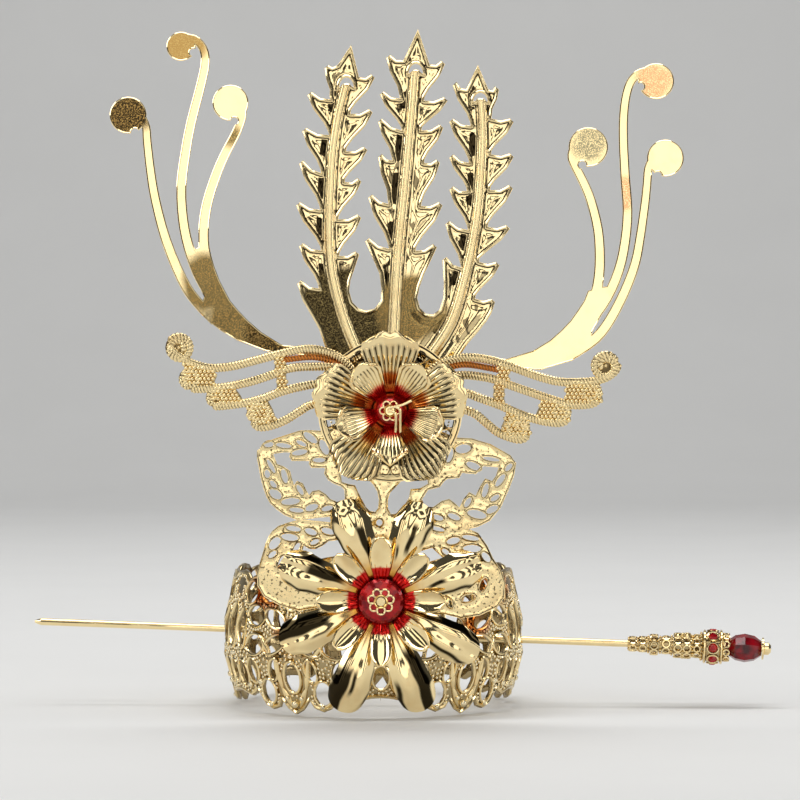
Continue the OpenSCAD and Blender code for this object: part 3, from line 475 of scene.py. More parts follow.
def rim_rows(bm, front_y, inset_mm):
    """The outlines of a sheet's front, moved inwards."""
    flat = bm.copy()
    keep = set(front_faces(flat, front_y))
    bmesh.ops.delete(flat, geom=[f for f in flat.faces if f not in keep], context="FACES")
    bmesh.ops.dissolve_limit(flat, angle_limit=0.01, verts=flat.verts[:], edges=flat.edges[:])
    ring = bmesh.ops.inset_region(flat, faces=flat.faces[:], use_boundary=True, use_even_offset=True,
                                  thickness=inset_mm * MM)["faces"]
    bmesh.ops.delete(flat, geom=ring, context="FACES")
    rows = chains([e for e in flat.edges if e.is_boundary])
    flat.free()
    return rows


def cut_lattice(bm, pitch_mm):
    """Cuts a sheet by upright and level planes, so that its front has points to move."""
    low = [min(v.co[i] for v in bm.verts) for i in (0, 2)]
    high = [max(v.co[i] for v in bm.verts) for i in (0, 2)]
    for axis, normal in ((0, RIGHT), (1, UP)):
        steps = int((high[axis] - low[axis]) / (pitch_mm * MM))
        for k in range(1, steps + 1):
            bmesh.ops.bisect_plane(bm, geom=bm.verts[:] + bm.edges[:] + bm.faces[:], dist=1e-8,
                                   plane_co=normal * (low[axis] + k * pitch_mm * MM), plane_no=normal)


def edge_distance(bm, front_y):
    """A finder for the distance in mm from a point of the front to the sheet's nearest edge."""
    faces = set(front_faces(bm, front_y))
    rim = [e for e in bm.edges if sum(f in faces for f in e.link_faces) == 1]
    marks = []
    for e in rim:
        a, b = (v.co for v in e.verts)
        count = max(int((b - a).length / (0.15 * MM)), 1)
        marks += [a.lerp(b, k / count) for k in range(count + 1)]
    tree = KDTree(len(marks))
    for i, mark in enumerate(marks):
        tree.insert(mark, i)
    tree.balance()
    return lambda place: tree.find(place)[2] / MM


def shade_layer(bm):
    """The number from 0 to 1 on each point that tells a finish how deep in a hollow it lies."""
    return bm.verts.layers.float.get("shade") or bm.verts.layers.float.new("shade")


def mark_field(bm, front_y, rim_mm):
    """Marks the front inside a rim of some mm as field, and leaves it flat."""
    layer = shade_layer(bm)
    front = front_faces(bm, front_y)
    bmesh.ops.inset_region(bm, faces=front, use_boundary=True, use_even_offset=True, thickness=rim_mm * MM)
    for v in {v for f in front for v in f.verts}:
        v[layer] = 1


def emboss(bm, front_y, height, rim_mm):
    """Moves the front by height(distance from the edge) in mm, and marks the field inside the rim."""
    shade_layer(bm)
    rim = bm.verts.layers.float.new("rim")
    layer = shade_layer(bm)
    distance = edge_distance(bm, front_y)
    verts = {v for f in front_faces(bm, front_y) for v in f.verts}
    places = {v: distance(v.co) for v in verts}
    for v, d in places.items():
        v.co.y -= height(d) * MM
        v[layer] = smooth_step(rim_mm, rim_mm + 0.3, d)
        v[rim] = d

# %% Plume
# The plume's sheet as the CAD has it: front face, lean to the back and the point that it leans round.
PLUME_FRONT = -36.5 * MM
PLUME_LEAN = math.radians(4.5)
PLUME_PIVOT = Vector((0, -35.9, 68.4)) * MM
# Midribs from the crescent slot under each tip down to the root, as the CAD's tables give them
MIDRIBS = [
    [(-6.3, 147.6), (-7.9, 141), (-9.2, 132.5), (-9.8, 122), (-10.1, 112), (-9.3, 103), (-6.6, 93), (-3, 84)],
    [(9.9, 150.8), (9.3, 143), (8.4, 133), (7.3, 121), (6, 108), (5.2, 96), (4.7, 86)],
    [(25.3, 144.2), (25.7, 136), (25.2, 125), (24.2, 115.5), (22, 104.5), (18.4, 92.5), (13, 84)]]
MIDRIB_TABLES = [sorted((z, x) for x, z in rib) for rib in MIDRIBS]
MIDRIB_R, MIDRIB_FLAT, MIDRIB_FOOT = 0.95, 0.5, 1.6
PLUME_LATTICE, PLUME_RIM_R, RIM_DROP, PRESSED = 0.42, 0.36, 0.06, 0.06


def lean(bm, turn):
    """Turns a sheet round the point that the plume and the antennae lean round."""
    bmesh.ops.rotate(bm, cent=PLUME_PIVOT, matrix=Matrix.Rotation(turn, 3, "X"), verts=bm.verts[:])


def plume_height(d):
    """Sunk inside the rim and puffed up towards the middle of each barb."""
    return -0.4 * smooth_step(0.3, 0.85, d) + 0.42 * smooth_step(0.9, 3.2, d)


def from_midribs(place):
    """Sideways distances in mm from the three midribs to a place."""
    return [place.x / MM - along(table, place.z / MM) for table in MIDRIB_TABLES]


def beside_midrib(row):
    """True for the outline of a midrib's foot, which the midrib itself covers."""
    return max(min(map(abs, from_midribs(p))) for p in row) < MIDRIB_FOOT


plume = merged_copy("plume")
lean(plume, PLUME_LEAN)
for v in plume.verts:  # the CAD's square midribs are pressed flat, because rounded ones are laid over them
    if v.co.y < PLUME_FRONT - 0.05 * MM:
        v.co.y = PLUME_FRONT + PRESSED * MM
plume_rims = [row for row in rim_rows(plume, PLUME_FRONT, PLUME_RIM_R) if not beside_midrib(row)]
cut_lattice(plume, PLUME_LATTICE)
emboss(plume, PLUME_FRONT, plume_height, 0.5)
across = plume.verts.layers.float.new("across")
for v in plume.verts:
    v[across] = min(from_midribs(v.co), key=abs)
wire(plume, pushed_back(plume_rims, RIM_DROP), PLUME_RIM_R)
ribs = bmesh.new()
lines = [[Vector((p.x * MM, PLUME_FRONT, p.y * MM)) for p in smooth_row(rib)] for rib in MIDRIBS]
wire(ribs, lines, MIDRIB_R, closed=False, sides=4)
bmesh.ops.scale(ribs, vec=(1, MIDRIB_FLAT, 1), verts=ribs.verts[:],
                space=Matrix.Translation((0, -PLUME_FRONT, 0)))
add_part(plume, ribs)
lean(plume, -PLUME_LEAN)
# Zones of painted dark reflection at the plume's foot: (x, z, radius in mm, dark colour, light colour)
BRONZE, OLIVE = colour(0.40, 0.25, 0.08), colour(0.20, 0.15, 0.06)
PLUME_PAINTED_REFLECTIONS = [(-7, 93, 12, BLACKISH, OLIVE), (9, 95, 8, OLIVE, BRONZE)]
plume_gold = painted_reflection_sheet("plume gold", PLUME_PAINTED_REFLECTIONS, patches=1.0)
finish_piece(plume, "plume_relief", "crown", plume_gold, ["plume"])

# %% Antennae
# They are cut from flat sheet and polished like mirrors, with a thin bright burr along every edge.
# Zones of painted reflection, dark and orange, speckled: (x, z, radius in mm, dark colour, light colour)
COPPER, DULL, TAN = colour(0.80, 0.42, 0.20), colour(0.30, 0.27, 0.16), colour(0.55, 0.38, 0.14)
BURR_R, BURR_WIDTH = 0.16, 0.3
ANTENNA_PAINTED_REFLECTIONS = {
    "left": [(-38, 101, 7, OLIVE, BRONZE), (-31, 93, 8, OLIVE, BRONZE), (-22, 88, 8, BLACKISH, BRONZE),
             (-57.5, 140.6, 6, BLACKISH, BRONZE), (-45, 158, 6, BRONZE, TAN), (-33.4, 136, 3, OLIVE, TAN)],
    "right": [(50.6, 134, 4.4, DULL, PALE_GOLD), (66, 149, 5, COPPER, PALE_GOLD),
              (59, 122, 4, COPPER, PALE_GOLD)]}
for side, zones in ANTENNA_PAINTED_REFLECTIONS.items():
    sheet = merged_copy("antenna_" + side)
    lean(sheet, PLUME_LEAN)
    front = min(v.co.y for v in sheet.verts)
    burrs = rim_rows(sheet, front, BURR_R)
    mark_field(sheet, front, BURR_WIDTH)
    wire(sheet, pushed_back(burrs, RIM_DROP), BURR_R)
    lean(sheet, -PLUME_LEAN)
    antenna_gold = painted_reflection_sheet(side + " antenna gold", zones)
    finish_piece(sheet, side + "_antenna", "crown", antenna_gold, ["antenna_" + side])

# %% Leaf panel
LEAF_FRONT = -37.3 * MM
LEAF_LATTICE, LEAF_INSET, LEAF_RIM_R, LEAF_DROP = 0.6, 0.24, 0.22, 0.14
NO_FIELD = 9  # wider than any leaf, so that no part of the panel is marked as a dark field


def leaf_height(d):
    """Sunk a little inside the rim and nearly flat further in."""
    return -0.16 * smooth_step(0.15, 0.5, d) + 0.05 * smooth_step(0.8, 1.6, d)


leaf = merged_copy("leaf_panel")
leaf_rims = rim_rows(leaf, LEAF_FRONT, LEAF_INSET)
cut_lattice(leaf, LEAF_LATTICE)
emboss(leaf, LEAF_FRONT, leaf_height, NO_FIELD)
wire(leaf, pushed_back(leaf_rims, LEAF_DROP), LEAF_RIM_R)
# Painted shade in small pits, away from the leaves' edges
leaf_gold = plating("leaf panel gold", roughness=0.1, wear=0.3, wave_depth=0.03, pits=0.85)
finish_piece(leaf, "leaf_relief", "crown", leaf_gold, ["leaf_panel"])

# %% [markdown]
# ## Petals
# All petals are thin stamped sheet with real ribs, slots and rims. A petal starts as a grid. Its columns
# become ribs and grooves and its rows run outwards; faces in the slots are deleted while the grid is
# still flat, then the points are moved to the petal's form, the petals are turned round the flower and
# the sheet gets its thickness.

# %% Helpers: petals and flowers
def flower_point(centre, angle, out, side, lift):
    """A point of a flower: out along the petal's middle, side across it, lift to the front, in mm."""
    a = math.radians(angle)
    x = out * math.cos(a) - side * math.sin(a)
    z = out * math.sin(a) + side * math.cos(a)
    return centre + Vector((x, -lift, z)) * MM


def add_petal(bm, columns, rows, place, cut=None, groove=None):
    """A grid whose points (u from -1 to 1 across, v from 0 to 1 outwards) go to place(u, v)."""
    layer = shade_layer(bm)
    grid = bmesh.ops.create_grid(bm, x_segments=columns, y_segments=rows, size=1)["verts"]
    if cut:
        faces = {f for v in grid for f in v.link_faces}
        gone = [f for f in faces if cut(f.calc_center_median().x, (f.calc_center_median().y + 1) / 2)]
        bmesh.ops.delete(bm, geom=gone, context="FACES")
        grid = [v for v in grid if v.is_valid]
    for v in grid:
        v[layer] = groove(v.co.x, (v.co.y + 1) / 2) if groove else 0
        v.co = place(v.co.x, (v.co.y + 1) / 2)


def petal_edge(place, first, count=16):
    """The outline of a petal from its base round its tip, a little inside its edge."""
    up = [first + (1 - first) * k / count for k in range(count)]
    over = [-0.94 + 1.88 * k / count for k in range(count + 1)]
    rows = [(-0.97, v) for v in up] + [(u, 0.985) for u in over] + [(0.97, v) for v in reversed(up)]
    return [place(u, v) for u, v in rows]

# %% [markdown]
# ### Upper flower
# Five fan petals lie behind five small ones. A fan petal has eleven ribs, with the two on its edges,
# and slots between them. Three of them have a plain scalloped margin. The two lower ones have none, so
# their ribs end free like a comb. The two upper small petals have slots between their ribs, and all five
# have a smooth rim and a blunt point.

# %% Upper flower: fan petals
UPPER = Vector((4.1, 0, 71.8)) * MM
FAN_CENTRE = UPPER + Vector((0, -39.6 * MM, 0))
PETAL_T = 0.4
FAN_WIDTHS = [(0, 1.5), (0.3, 3.6), (0.6, 5.8), (0.8, 6.8), (0.92, 6.4), (1, 4.6)]
FAN_REACH, FAN_HUB = 18.4, 3.6
FAN_RIBS, RIB_COLUMNS, FAN_ROWS, FAN_RIM_R = 10, 6, 26, 0.2
FAN_ANGLES = [18, 90, 162, 234, 306]
COMBS = (234, 306)


def fan_reach_at(u, angle):
    """Where the petal ends, for its place across: two shallow scallops, or the comb's free rib ends."""
    if angle in COMBS:
        return FAN_REACH - 2.2 * abs(u) ** 1.5
    scallop = 0.7 * math.sin(math.pi * u / 0.7) ** 2 if abs(u) < 0.7 else 0
    return FAN_REACH - 0.7 - 1.3 * u * u + scallop


def fan_rib(u):
    """1 on a rib's crest, 0 in the groove."""
    return 0.5 + 0.5 * math.cos(math.pi * FAN_RIBS * u)


def fan_place(angle):
    """Ribbed and rising to the front, with a plain margin unless the petal is a comb."""
    comb = angle in COMBS

    def place(u, v):
        out = FAN_HUB + (fan_reach_at(u, angle) - FAN_HUB) * v
        ribbed = smooth_step(0.1, 0.25, v) * (1 if comb else 1 - smooth_step(0.78, 0.86, v))
        lift = 0.5 + 4.1 * math.sin(math.pi / 2 * v) - 0.9 * v * u * u
        lift += 0.45 * (fan_rib(u) ** 0.7 - 0.6) * ribbed
        if not comb:
            lift += 0.25 * math.sin(math.pi * min(max((v - 0.84) / 0.16, 0), 1))
        return flower_point(FAN_CENTRE, angle, out, u * along(FAN_WIDTHS, v), lift)
    return place


def fan_slots(angle):
    """Slots along the grooves, through the end of a comb and up to the margin of the others."""
    start = 0.45 if angle == 90 else 0.3
    end = 1.01 if angle in COMBS else 0.8

    def cut(u, v):
        return fan_rib(u) < 0.2 and start < v < end and abs(u) < 0.95
    return cut


def fan_groove(angle):
    """1 in the grooves between the ribs, where the finish paints shade."""
    end = 1.1 if angle in COMBS else 0.82

    def groove(u, v):
        shown = smooth_step(0.1, 0.2, v) * (1 - smooth_step(end - 0.04, end, v))
        return smooth_step(0.05, 0.5, 1 - fan_rib(u)) * shown
    return groove


fan = bmesh.new()
fan_rims = []
for angle in FAN_ANGLES:
    add_petal(fan, FAN_RIBS * RIB_COLUMNS, FAN_ROWS, fan_place(angle), fan_slots(angle), fan_groove(angle))
    if angle not in COMBS:
        fan_rims.append(petal_edge(fan_place(angle), 0.7))
bmesh.ops.solidify(fan, geom=fan.faces[:], thickness=PETAL_T * MM)
wire(fan, fan_rims, FAN_RIM_R, closed=False)
print("fan petals lie between y", [round(f(v.co.y for v in fan.verts) / MM, 2) for f in (min, max)])

# %% Upper flower: small petals
SMALL_CENTRE = UPPER + Vector((0, -40.3 * MM, 0))
SMALL_WIDTHS = [(0, 1.2), (0.35, 2.9), (0.65, 4.1), (0.85, 4.0), (1, 2.9)]
SMALL_REACH, SMALL_HUB = 12.7, 3.4
SMALL_ANGLES = [54, 126, 198, 270, 342]
SMALL_RIBS, SMALL_ROWS, SMALL_RIM_R = 9, 30, 0.26
SLOTTED, POINTED = (54, 126), 270


def small_rib(u, v):
    """How high a rib stands at a place, from 0 in the groove to 1, and how far the ribs show there."""
    shown = smooth_step(0.06, 0.14, v) * (1 - smooth_step(0.8, 0.84, v))
    shown *= 1 - smooth_step(0.84, 0.9, abs(u))
    return 0.5 + 0.5 * math.cos(math.pi * SMALL_RIBS * u), shown


def small_place(angle):
    """Cupped and ribbed. The lowest petal has a longer point."""
    def place(u, v):
        point = 2.4 * abs(u) if angle == POINTED else 1.4 * u * u
        out = SMALL_HUB + (SMALL_REACH - point * smooth_step(0.5, 1, v) - SMALL_HUB) * v
        rib, shown = small_rib(u, v)
        lift = 0.5 + 4.4 * v * (1.35 - 0.35 * v) + 0.4 * v * u * u + 0.4 * (rib ** 0.7 - 0.6) * shown
        return flower_point(SMALL_CENTRE, angle, out, u * along(SMALL_WIDTHS, v), lift)
    return place


def small_groove(u, v):
    """1 in the grooves between the ribs, where ribs show; the finish paints shade there."""
    rib, shown = small_rib(u, v)
    return smooth_step(0.05, 0.5, 1 - rib) * shown


def small_slots(u, v):
    """Slots along the grooves of the two upper petals."""
    return 0.3 < v < 0.76 and small_rib(u, v)[0] < 0.18 and abs(u) < 0.85


small = bmesh.new()
small_rims = []
for angle in SMALL_ANGLES:
    slots = small_slots if angle in SLOTTED else None
    add_petal(small, SMALL_RIBS * 8, SMALL_ROWS, small_place(angle), slots, small_groove)
    small_rims.append(petal_edge(small_place(angle), 0.45))
bmesh.ops.solidify(small, geom=small.faces[:], thickness=PETAL_T * MM)
wire(small, small_rims, SMALL_RIM_R, closed=False, sides=2)
print("small petals lie between y", [round(f(v.co.y for v in small.verts) / MM, 2) for f in (min, max)])

# %% [markdown]
# ### Tinted gold
# Red and amber lacquer was brushed over the inner ends of the petals and runs out into the gold. The tint
# depends on the distance from the flower's axis in Object coordinates, blurred a little by noise, so it
# stays with the metal from any side.

# %% Tinted platings
def tinted(name, centre, tint, inner_mm, outer_mm, dark, roughness=0.08):
    """Gold plating with a tint near a flower's axis, full inside inner_mm and gone at outer_mm."""
    finish = Finish(name, Metallic=1.0)
    away = finish.away(centre.x / MM, centre.z / MM)
    ragged = away + 1.2 * (finish.noise(1.2, detail=3) - 0.5)
    gold_part = ragged.between(inner_mm, outer_mm)
    gold = finish.blend(finish.clouds(5, 0.4), PALE_GOLD, DEEP_GOLD)
    deep = finish.blend(finish.noise(1.5, detail=3).between(0.3, 0.7), tint, dark)
    waves = finish.bump(finish.noise(7, detail=1), 0.05)
    metal = finish.blend(gold_part, deep, gold)
    # Painted shade in the petals' grooves, and painted dark reflections in the spoons' bands, take this
    # colour
    hollow = finish.blend(gold_part, dark, BLACKISH)
    return finish.use(Base_Color=finish.blend(finish.shade(), metal, hollow),
                      Roughness=roughness + 0.1 * finish.noise(0.5, detail=3) + 0.12 * (1 - gold_part),
                      Normal=waves)


# Each tint ends between two distances in mm from the flower's axis
ORANGE, AMBER, SCARLET = colour(0.62, 0.20, 0.035), colour(0.80, 0.42, 0.06), colour(0.72, 0.03, 0.02)
fan_gold = tinted("fan gold with amber", UPPER, ORANGE, 8, 10, colour(0.42, 0.11, 0.02))
small_gold = tinted("small petals' gold with red", UPPER, SCARLET, 5.4, 7.0, colour(0.30, 0.008, 0.008))
finish_piece(fan, "fan_petals", "crown", fan_gold, ["upper_large_petals"])
finish_piece(small, "small_petals", "crown", small_gold, ["upper_small_petals"])

# %% [markdown]
# ### Lower flower
# Eight long spoon petals, polished like mirrors, with two soft ridges and a groove between them, and
# eight small leaf cups with a fine wire rim. The ridges turn one light panel into a bright band beside a
# dark one along the whole petal, and bands of painted dark reflection lie along each petal as well.

# %% Lower flower: spoon petals
LOWER = Vector((2, 0, 27.7)) * MM
SPOON_CENTRE = LOWER + Vector((0, -37.5 * MM, 0))
# Angle, reach, and a petal's painted dark reflections: middle and half width across, from and to along it
SPOONS = [(21, 24.6, [(-0.25, 0.12, 0.3, 0.62), (-0.9, 0.08, 0.3, 1)]),
          (67, 24.5, [(-0.25, 0.14, 0.35, 0.8), (0.35, 0.08, 0.25, 0.5), (-0.88, 0.08, 0.5, 1)]),
          (111, 24.8, [(-0.4, 0.2, 0.15, 0.72), (0.9, 0.08, 0.3, 0.9)]),
          (159, 24.8, [(-0.35, 0.3, 0.2, 0.75), (-0.85, 0.15, 0.5, 0.95), (0.85, 0.08, 0.4, 1)]),
          (203, 25.2, [(-0.5, 0.42, 0.35, 1.1), (0.3, 0.06, 0.4, 0.7)]),
          (250, 27.2, [(-0.6, 0.4, 0.5, 1.1), (0.05, 0.1, 0.5, 0.85), (0.95, 0.06, 0.4, 1)]),
          (291, 27.2, [(0.45, 0.3, 0.3, 1.1), (-0.85, 0.12, 0.6, 1.1)]),
          (331, 25.6, [(0.75, 0.2, 0.2, 1.1), (-0.72, 0.1, 0.35, 1)])]
SPOON_HUB = 4
SPOON_WIDTHS = [(0, 1.1), (0.2, 2.3), (0.5, 3.8), (0.75, 4.4), (0.9, 4.3), (1, 3.9)]


def spoon_place(angle, reach):
    """Keeled and round-ended, rising and then bending back."""
    def place(u, v):
        end = reach - 4 * (1 - math.sqrt(1 - 0.96 * u * u)) * smooth_step(0.5, 1, v)
        out = SPOON_HUB + (end - SPOON_HUB) * v
        keel = 0.9 * math.sin(math.pi * min(v * 1.1, 1)) ** 0.6 * (1 - u * u)
        ridges = 0.5 * v * math.sin(math.pi * u) ** 2
        lift = 0.4 + 3 * math.sin(math.radians(v * 120)) - 0.8 * v ** 6 + (keel + ridges) - 0.5 * v * u * u
        return flower_point(SPOON_CENTRE, angle, out, u * along(SPOON_WIDTHS, v), lift)
    return place


def spoon_painted_reflections(bands):
    """1 in a petal's bands of painted dark reflection, whose edges waver a little."""
    def groove(u, v):
        u += 0.08 * math.sin(7 * v) + 0.03 * math.sin(23 * v)
        return max((smooth_step(half + 0.05, half - 0.05, abs(u - middle))
                    * smooth_step(first, first + 0.12, v) * (1 - smooth_step(last - 0.08, last, v))
                    for middle, half, first, last in bands), default=0)
    return groove


spoons = bmesh.new()
for angle, reach, bands in SPOONS:
    add_petal(spoons, 40, 40, spoon_place(angle, reach), groove=spoon_painted_reflections(bands))
bmesh.ops.solidify(spoons, geom=spoons.faces[:], thickness=PETAL_T * MM)
print("spoon petals:", len(SPOONS))

# %% Lower flower: leaf cups
CUP_CENTRE = LOWER + Vector((0, -38.2 * MM, 0))
CUP_REACH, CUP_HUB, CUP_COUNT, CUP_RIM_R = 15, 4, 8, 0.2
CUP_WIDTHS = [(0, 1), (0.3, 2.1), (0.55, 2.6), (0.75, 2.45), (0.9, 1.8), (1, 0.7)]


def cup_place(angle):
    """A small cup with raised sides and fine ribs at its base."""
    def place(u, v):
        out = CUP_HUB + (CUP_REACH - CUP_HUB) * v
        ribs = 0.12 * math.cos(math.pi * 5 * u) * (1 - smooth_step(0.3, 0.5, v))
        lift = 0.5 + 4.4 * v + 0.9 * v * (1 - v) * 4 * u * u + ribs
        lift -= 0.35 * (1 - u * u) * smooth_step(0.1, 0.5, v)
        return flower_point(CUP_CENTRE, angle, out, u * along(CUP_WIDTHS, v), lift)
    return place


cups = bmesh.new()
cup_rims = []
cup_edge = [(side, v / 16) for side, order in ((-1, range(3, 17)), (1, range(16, 2, -1))) for v in order]
for k in range(CUP_COUNT):
    place = cup_place(360 / CUP_COUNT * k)
    add_petal(cups, 20, 18, place)
    cup_rims.append([place(0.96 * u, 0.985 * v) for u, v in cup_edge])
bmesh.ops.solidify(cups, geom=cups.faces[:], thickness=PETAL_T * MM)
wire(cups, cup_rims, CUP_RIM_R, closed=False, sides=2)
spoon_gold = tinted("spoon gold with amber", LOWER, AMBER, 6, 12, colour(0.60, 0.25, 0.04), roughness=0.03)
cup_gold = tinted("cup gold with red", LOWER, SCARLET, 7.6, 8.2, colour(0.50, 0.02, 0.02), roughness=0.04)
finish_piece(spoons, "spoon_petals", "crown", spoon_gold, ["lower_large_petals"])
finish_piece(cups, "leaf_cups", "crown", cup_gold, ["lower_small_petals"])

# %% [markdown]
# ## Wings
# Each wing is cast as four ribbed strands, like rope laid flat, that end in curled knobs with small
# grains in them. A strand is a grid rolled into a flat tube along a smooth line: its ribs are waves of
# the tube's width and height, and both ends shrink to a closed point. A curl is the same rope along a
# spiral.

# %% Helpers: lines and ropes
def measured(points):
    """The length of a line and a function that gives its point and direction at a length."""
    lengths = [0.0]
    for a, b in zip(points, points[1:]):
        lengths.append(lengths[-1] + (b - a).length)

    def at(s):
        s = min(max(s, 0), lengths[-1])
        i = next((i for i in range(1, len(lengths)) if lengths[i] >= s), len(lengths) - 1)
        a, b = points[i - 1], points[i]
        return a.lerp(b, (s - lengths[i - 1]) / max(lengths[i] - lengths[i - 1], 1e-9)), (b - a).normalized()
    return lengths[-1], at


ROPE_PITCH, ROPE_SLANT = 0.72, 0.35
ROPE_AROUND, STEPS_PER_RIB = 12, 5
CURL_TURNS, CURL_PITCH = 1.6, 0.8


def add_rope(bm, row, y_mm, width, thick, pitch=ROPE_PITCH, smooth=8):
    """A ribbed flat rope along a row of (x, z) points, with closed round ends."""
    length, at = measured(smooth_row(row, smooth))
    steps = max(round(length / pitch) * STEPS_PER_RIB, 12)
    part = bmesh.new()
    layer = shade_layer(part)
    grid = bmesh.ops.create_grid(part, x_segments=ROPE_AROUND, y_segments=steps, size=1)["verts"]
    for v in grid:
        turn = math.pi * v.co.x
        s = (v.co.y + 1) / 2 * length
        across, out = math.cos(turn), math.sin(turn)
        rib = abs(math.sin(math.pi * (s + ROPE_SLANT * across * width / 2) / pitch)) ** 0.8
        end = math.sqrt(max(1 - (1 - min(s, length - s, width / 2) / (width / 2)) ** 2, 0))
        place, way = at(s)
        side = Vector((-way.y, way.x)) * across * width / 2 * (0.8 + 0.2 * rib) * end
        # Painted shade in the grooves between the rope's ribs
        v[layer] = 1 - smooth_step(0.2, 0.55, rib)
        y = y_mm - out * thick / 2 * (0.5 + 0.5 * rib) * end
        v.co = Vector((place.x + side.x, y, place.y + side.y)) * MM
    bmesh.ops.remove_doubles(part, verts=part.verts[:], dist=0.002 * MM)
    add_part(bm, part)


def add_curl(bm, x, z, radius, y_mm, thick, start, hand):
    """A ribbed spiral that starts at an angle, on a disc painted with shade, with a grain in its eye.

    The disc's faces lie a little in front of the webs', so that no two faces share a plane.
    """
    width = radius * 0.56
    outer, inner = radius - width / 2, radius * 0.22
    count = int(20 * CURL_TURNS)
    row = []
    for k in range(count + 1):
        a = start + hand * 2 * math.pi * CURL_TURNS * k / count
        r = outer + (inner - outer) * max(k / count - 0.4, 0) / 0.6
        row.append((x + r * math.cos(a), z + r * math.sin(a)))
    add_rope(bm, row, y_mm, width, thick, pitch=CURL_PITCH, smooth=3)
    disc = [(x + 0.9 * radius * math.cos(k * math.pi / 8), z + 0.9 * radius * math.sin(k * math.pi / 8))
            for k in range(16)]
    # Painted shade on the disc's front, which shows in the curl's open middle
    add_slab(bm, disc, y_mm + thick / 2 - 0.1, y_mm - 0.1, shade=0.9)
    add_beads(bm, [Vector((x, y_mm - thick * 0.35, z)) * MM], 0.36)


def add_slab(bm, outline, back_mm, front_mm, rise=0.0, shade=0):
    """A flat plate with rounded edges from an outline of (x, z) points in mm. The shade is its front's."""
    part = bmesh.new()
    ring = [part.verts.new(Vector((x, back_mm, z + rise)) * MM) for x, z in outline]
    face = part.faces.new(ring)
    grown = bmesh.ops.extrude_face_region(part, geom=[face])["geom"]
    bmesh.ops.translate(part, vec=Vector((0, front_mm - back_mm, 0)) * MM,
                        verts=[v for v in grown if isinstance(v, bmesh.types.BMVert)])
    bmesh.ops.recalc_face_normals(part, faces=part.faces[:])
    bmesh.ops.bevel(part, geom=part.edges[:], offset=0.15 * MM, segments=2, affect="EDGES", profile=0.5,
                    material=-1)
    layer = shade_layer(part)
    for v in part.verts:
        v[layer] = shade if v.co.y < (back_mm + front_mm) / 2 * MM else 0
    add_part(bm, part)


def within(x, z, outline):
    """True if a point lies inside an outline."""
    inside = False
    for (x0, z0), (x1, z1) in zip(outline, outline[1:] + outline[:1]):
        if (z0 > z) != (z1 > z) and x < x0 + (z - z0) * (x1 - x0) / (z1 - z0):
            inside = not inside
    return inside

# %% Wings
WING_MIDDLE, WING_T, STRAND_W, WING_RISE = -38.8, 1.2, 2.1, -0.5
LEFT_STRANDS = [
    [(-4, 80.4), (-6.3, 83.6), (-9.8, 85.6), (-14.4, 86.5), (-19.1, 85.9), (-28.3, 83.5), (-33, 82.4),
     (-37.6, 82.1), (-41, 82.9), (-43.5, 84.1), (-45.9, 85.9), (-47.2, 88)],
    [(-5.4, 79.6), (-8.4, 82.1), (-14.4, 82.4), (-19.1, 82), (-23, 80.6), (-28.3, 78.9), (-34.1, 77.7),
     (-38.7, 77.3), (-42.2, 77.3)],
    [(-7.6, 76.8), (-12.1, 78.3), (-16.8, 77.7), (-21.4, 76.5), (-25.5, 75), (-29.5, 74), (-34.1, 73.4),
     (-37.1, 73.2)],
    [(-8.4, 74.6), (-14, 73.6), (-16.8, 72.1), (-20.2, 70), (-23.7, 68.7), (-26.4, 68.5), (-27.8, 70)]]
LEFT_CURLS = [(-44.8, 86.8, 3.5), (-42.2, 79.5, 2.7), (-36.2, 75.1, 2.4), (-26.2, 71.6, 3)]
RIGHT_STRANDS = [
    [(12.6, 81), (16, 83.2), (19.1, 84.2), (22.6, 84.5), (27.2, 83.9), (32, 82.4), (38.8, 80), (43.4, 78.9),
     (48.1, 78.8), (51.4, 79.1), (54.2, 79.9), (56.2, 81.4), (57, 83.4)],
    [(14.4, 79.4), (20.3, 80.4), (24.9, 80.1), (28.4, 79.4), (31.9, 78.1), (36.5, 76.5), (41.1, 74.9),
     (45.8, 73.6), (50.4, 73.7), (52.5, 74.8)],
    [(15.6, 76.6), (21.4, 76.3), (24.9, 75.1), (29.6, 73.4), (33, 71.9), (36.5, 70.6), (40, 69.7),
     (43.4, 69.4), (45.4, 70.2)],
    [(16.4, 74), (23.1, 71.8), (26.1, 69.6), (28.9, 67.3), (31.9, 66), (34.6, 65.6), (36.2, 66.9)]]
RIGHT_CURLS = [(54, 82.6, 3.5), (50.7, 76.5, 2.6), (43.8, 71.8, 2.4), (33.6, 68.3, 3)]
# Roots: the solid part behind the flower that the strands spring from
LEFT_ROOT = [(-2.4, 81.4), (-6.4, 80.4), (-9.6, 76.6), (-9.6, 73.2), (-6.6, 72.6), (-1.2, 78)]
RIGHT_ROOT = [(10.8, 82), (15.4, 81.6), (17.8, 77), (17.8, 73), (14.8, 72.6), (9.6, 78)]
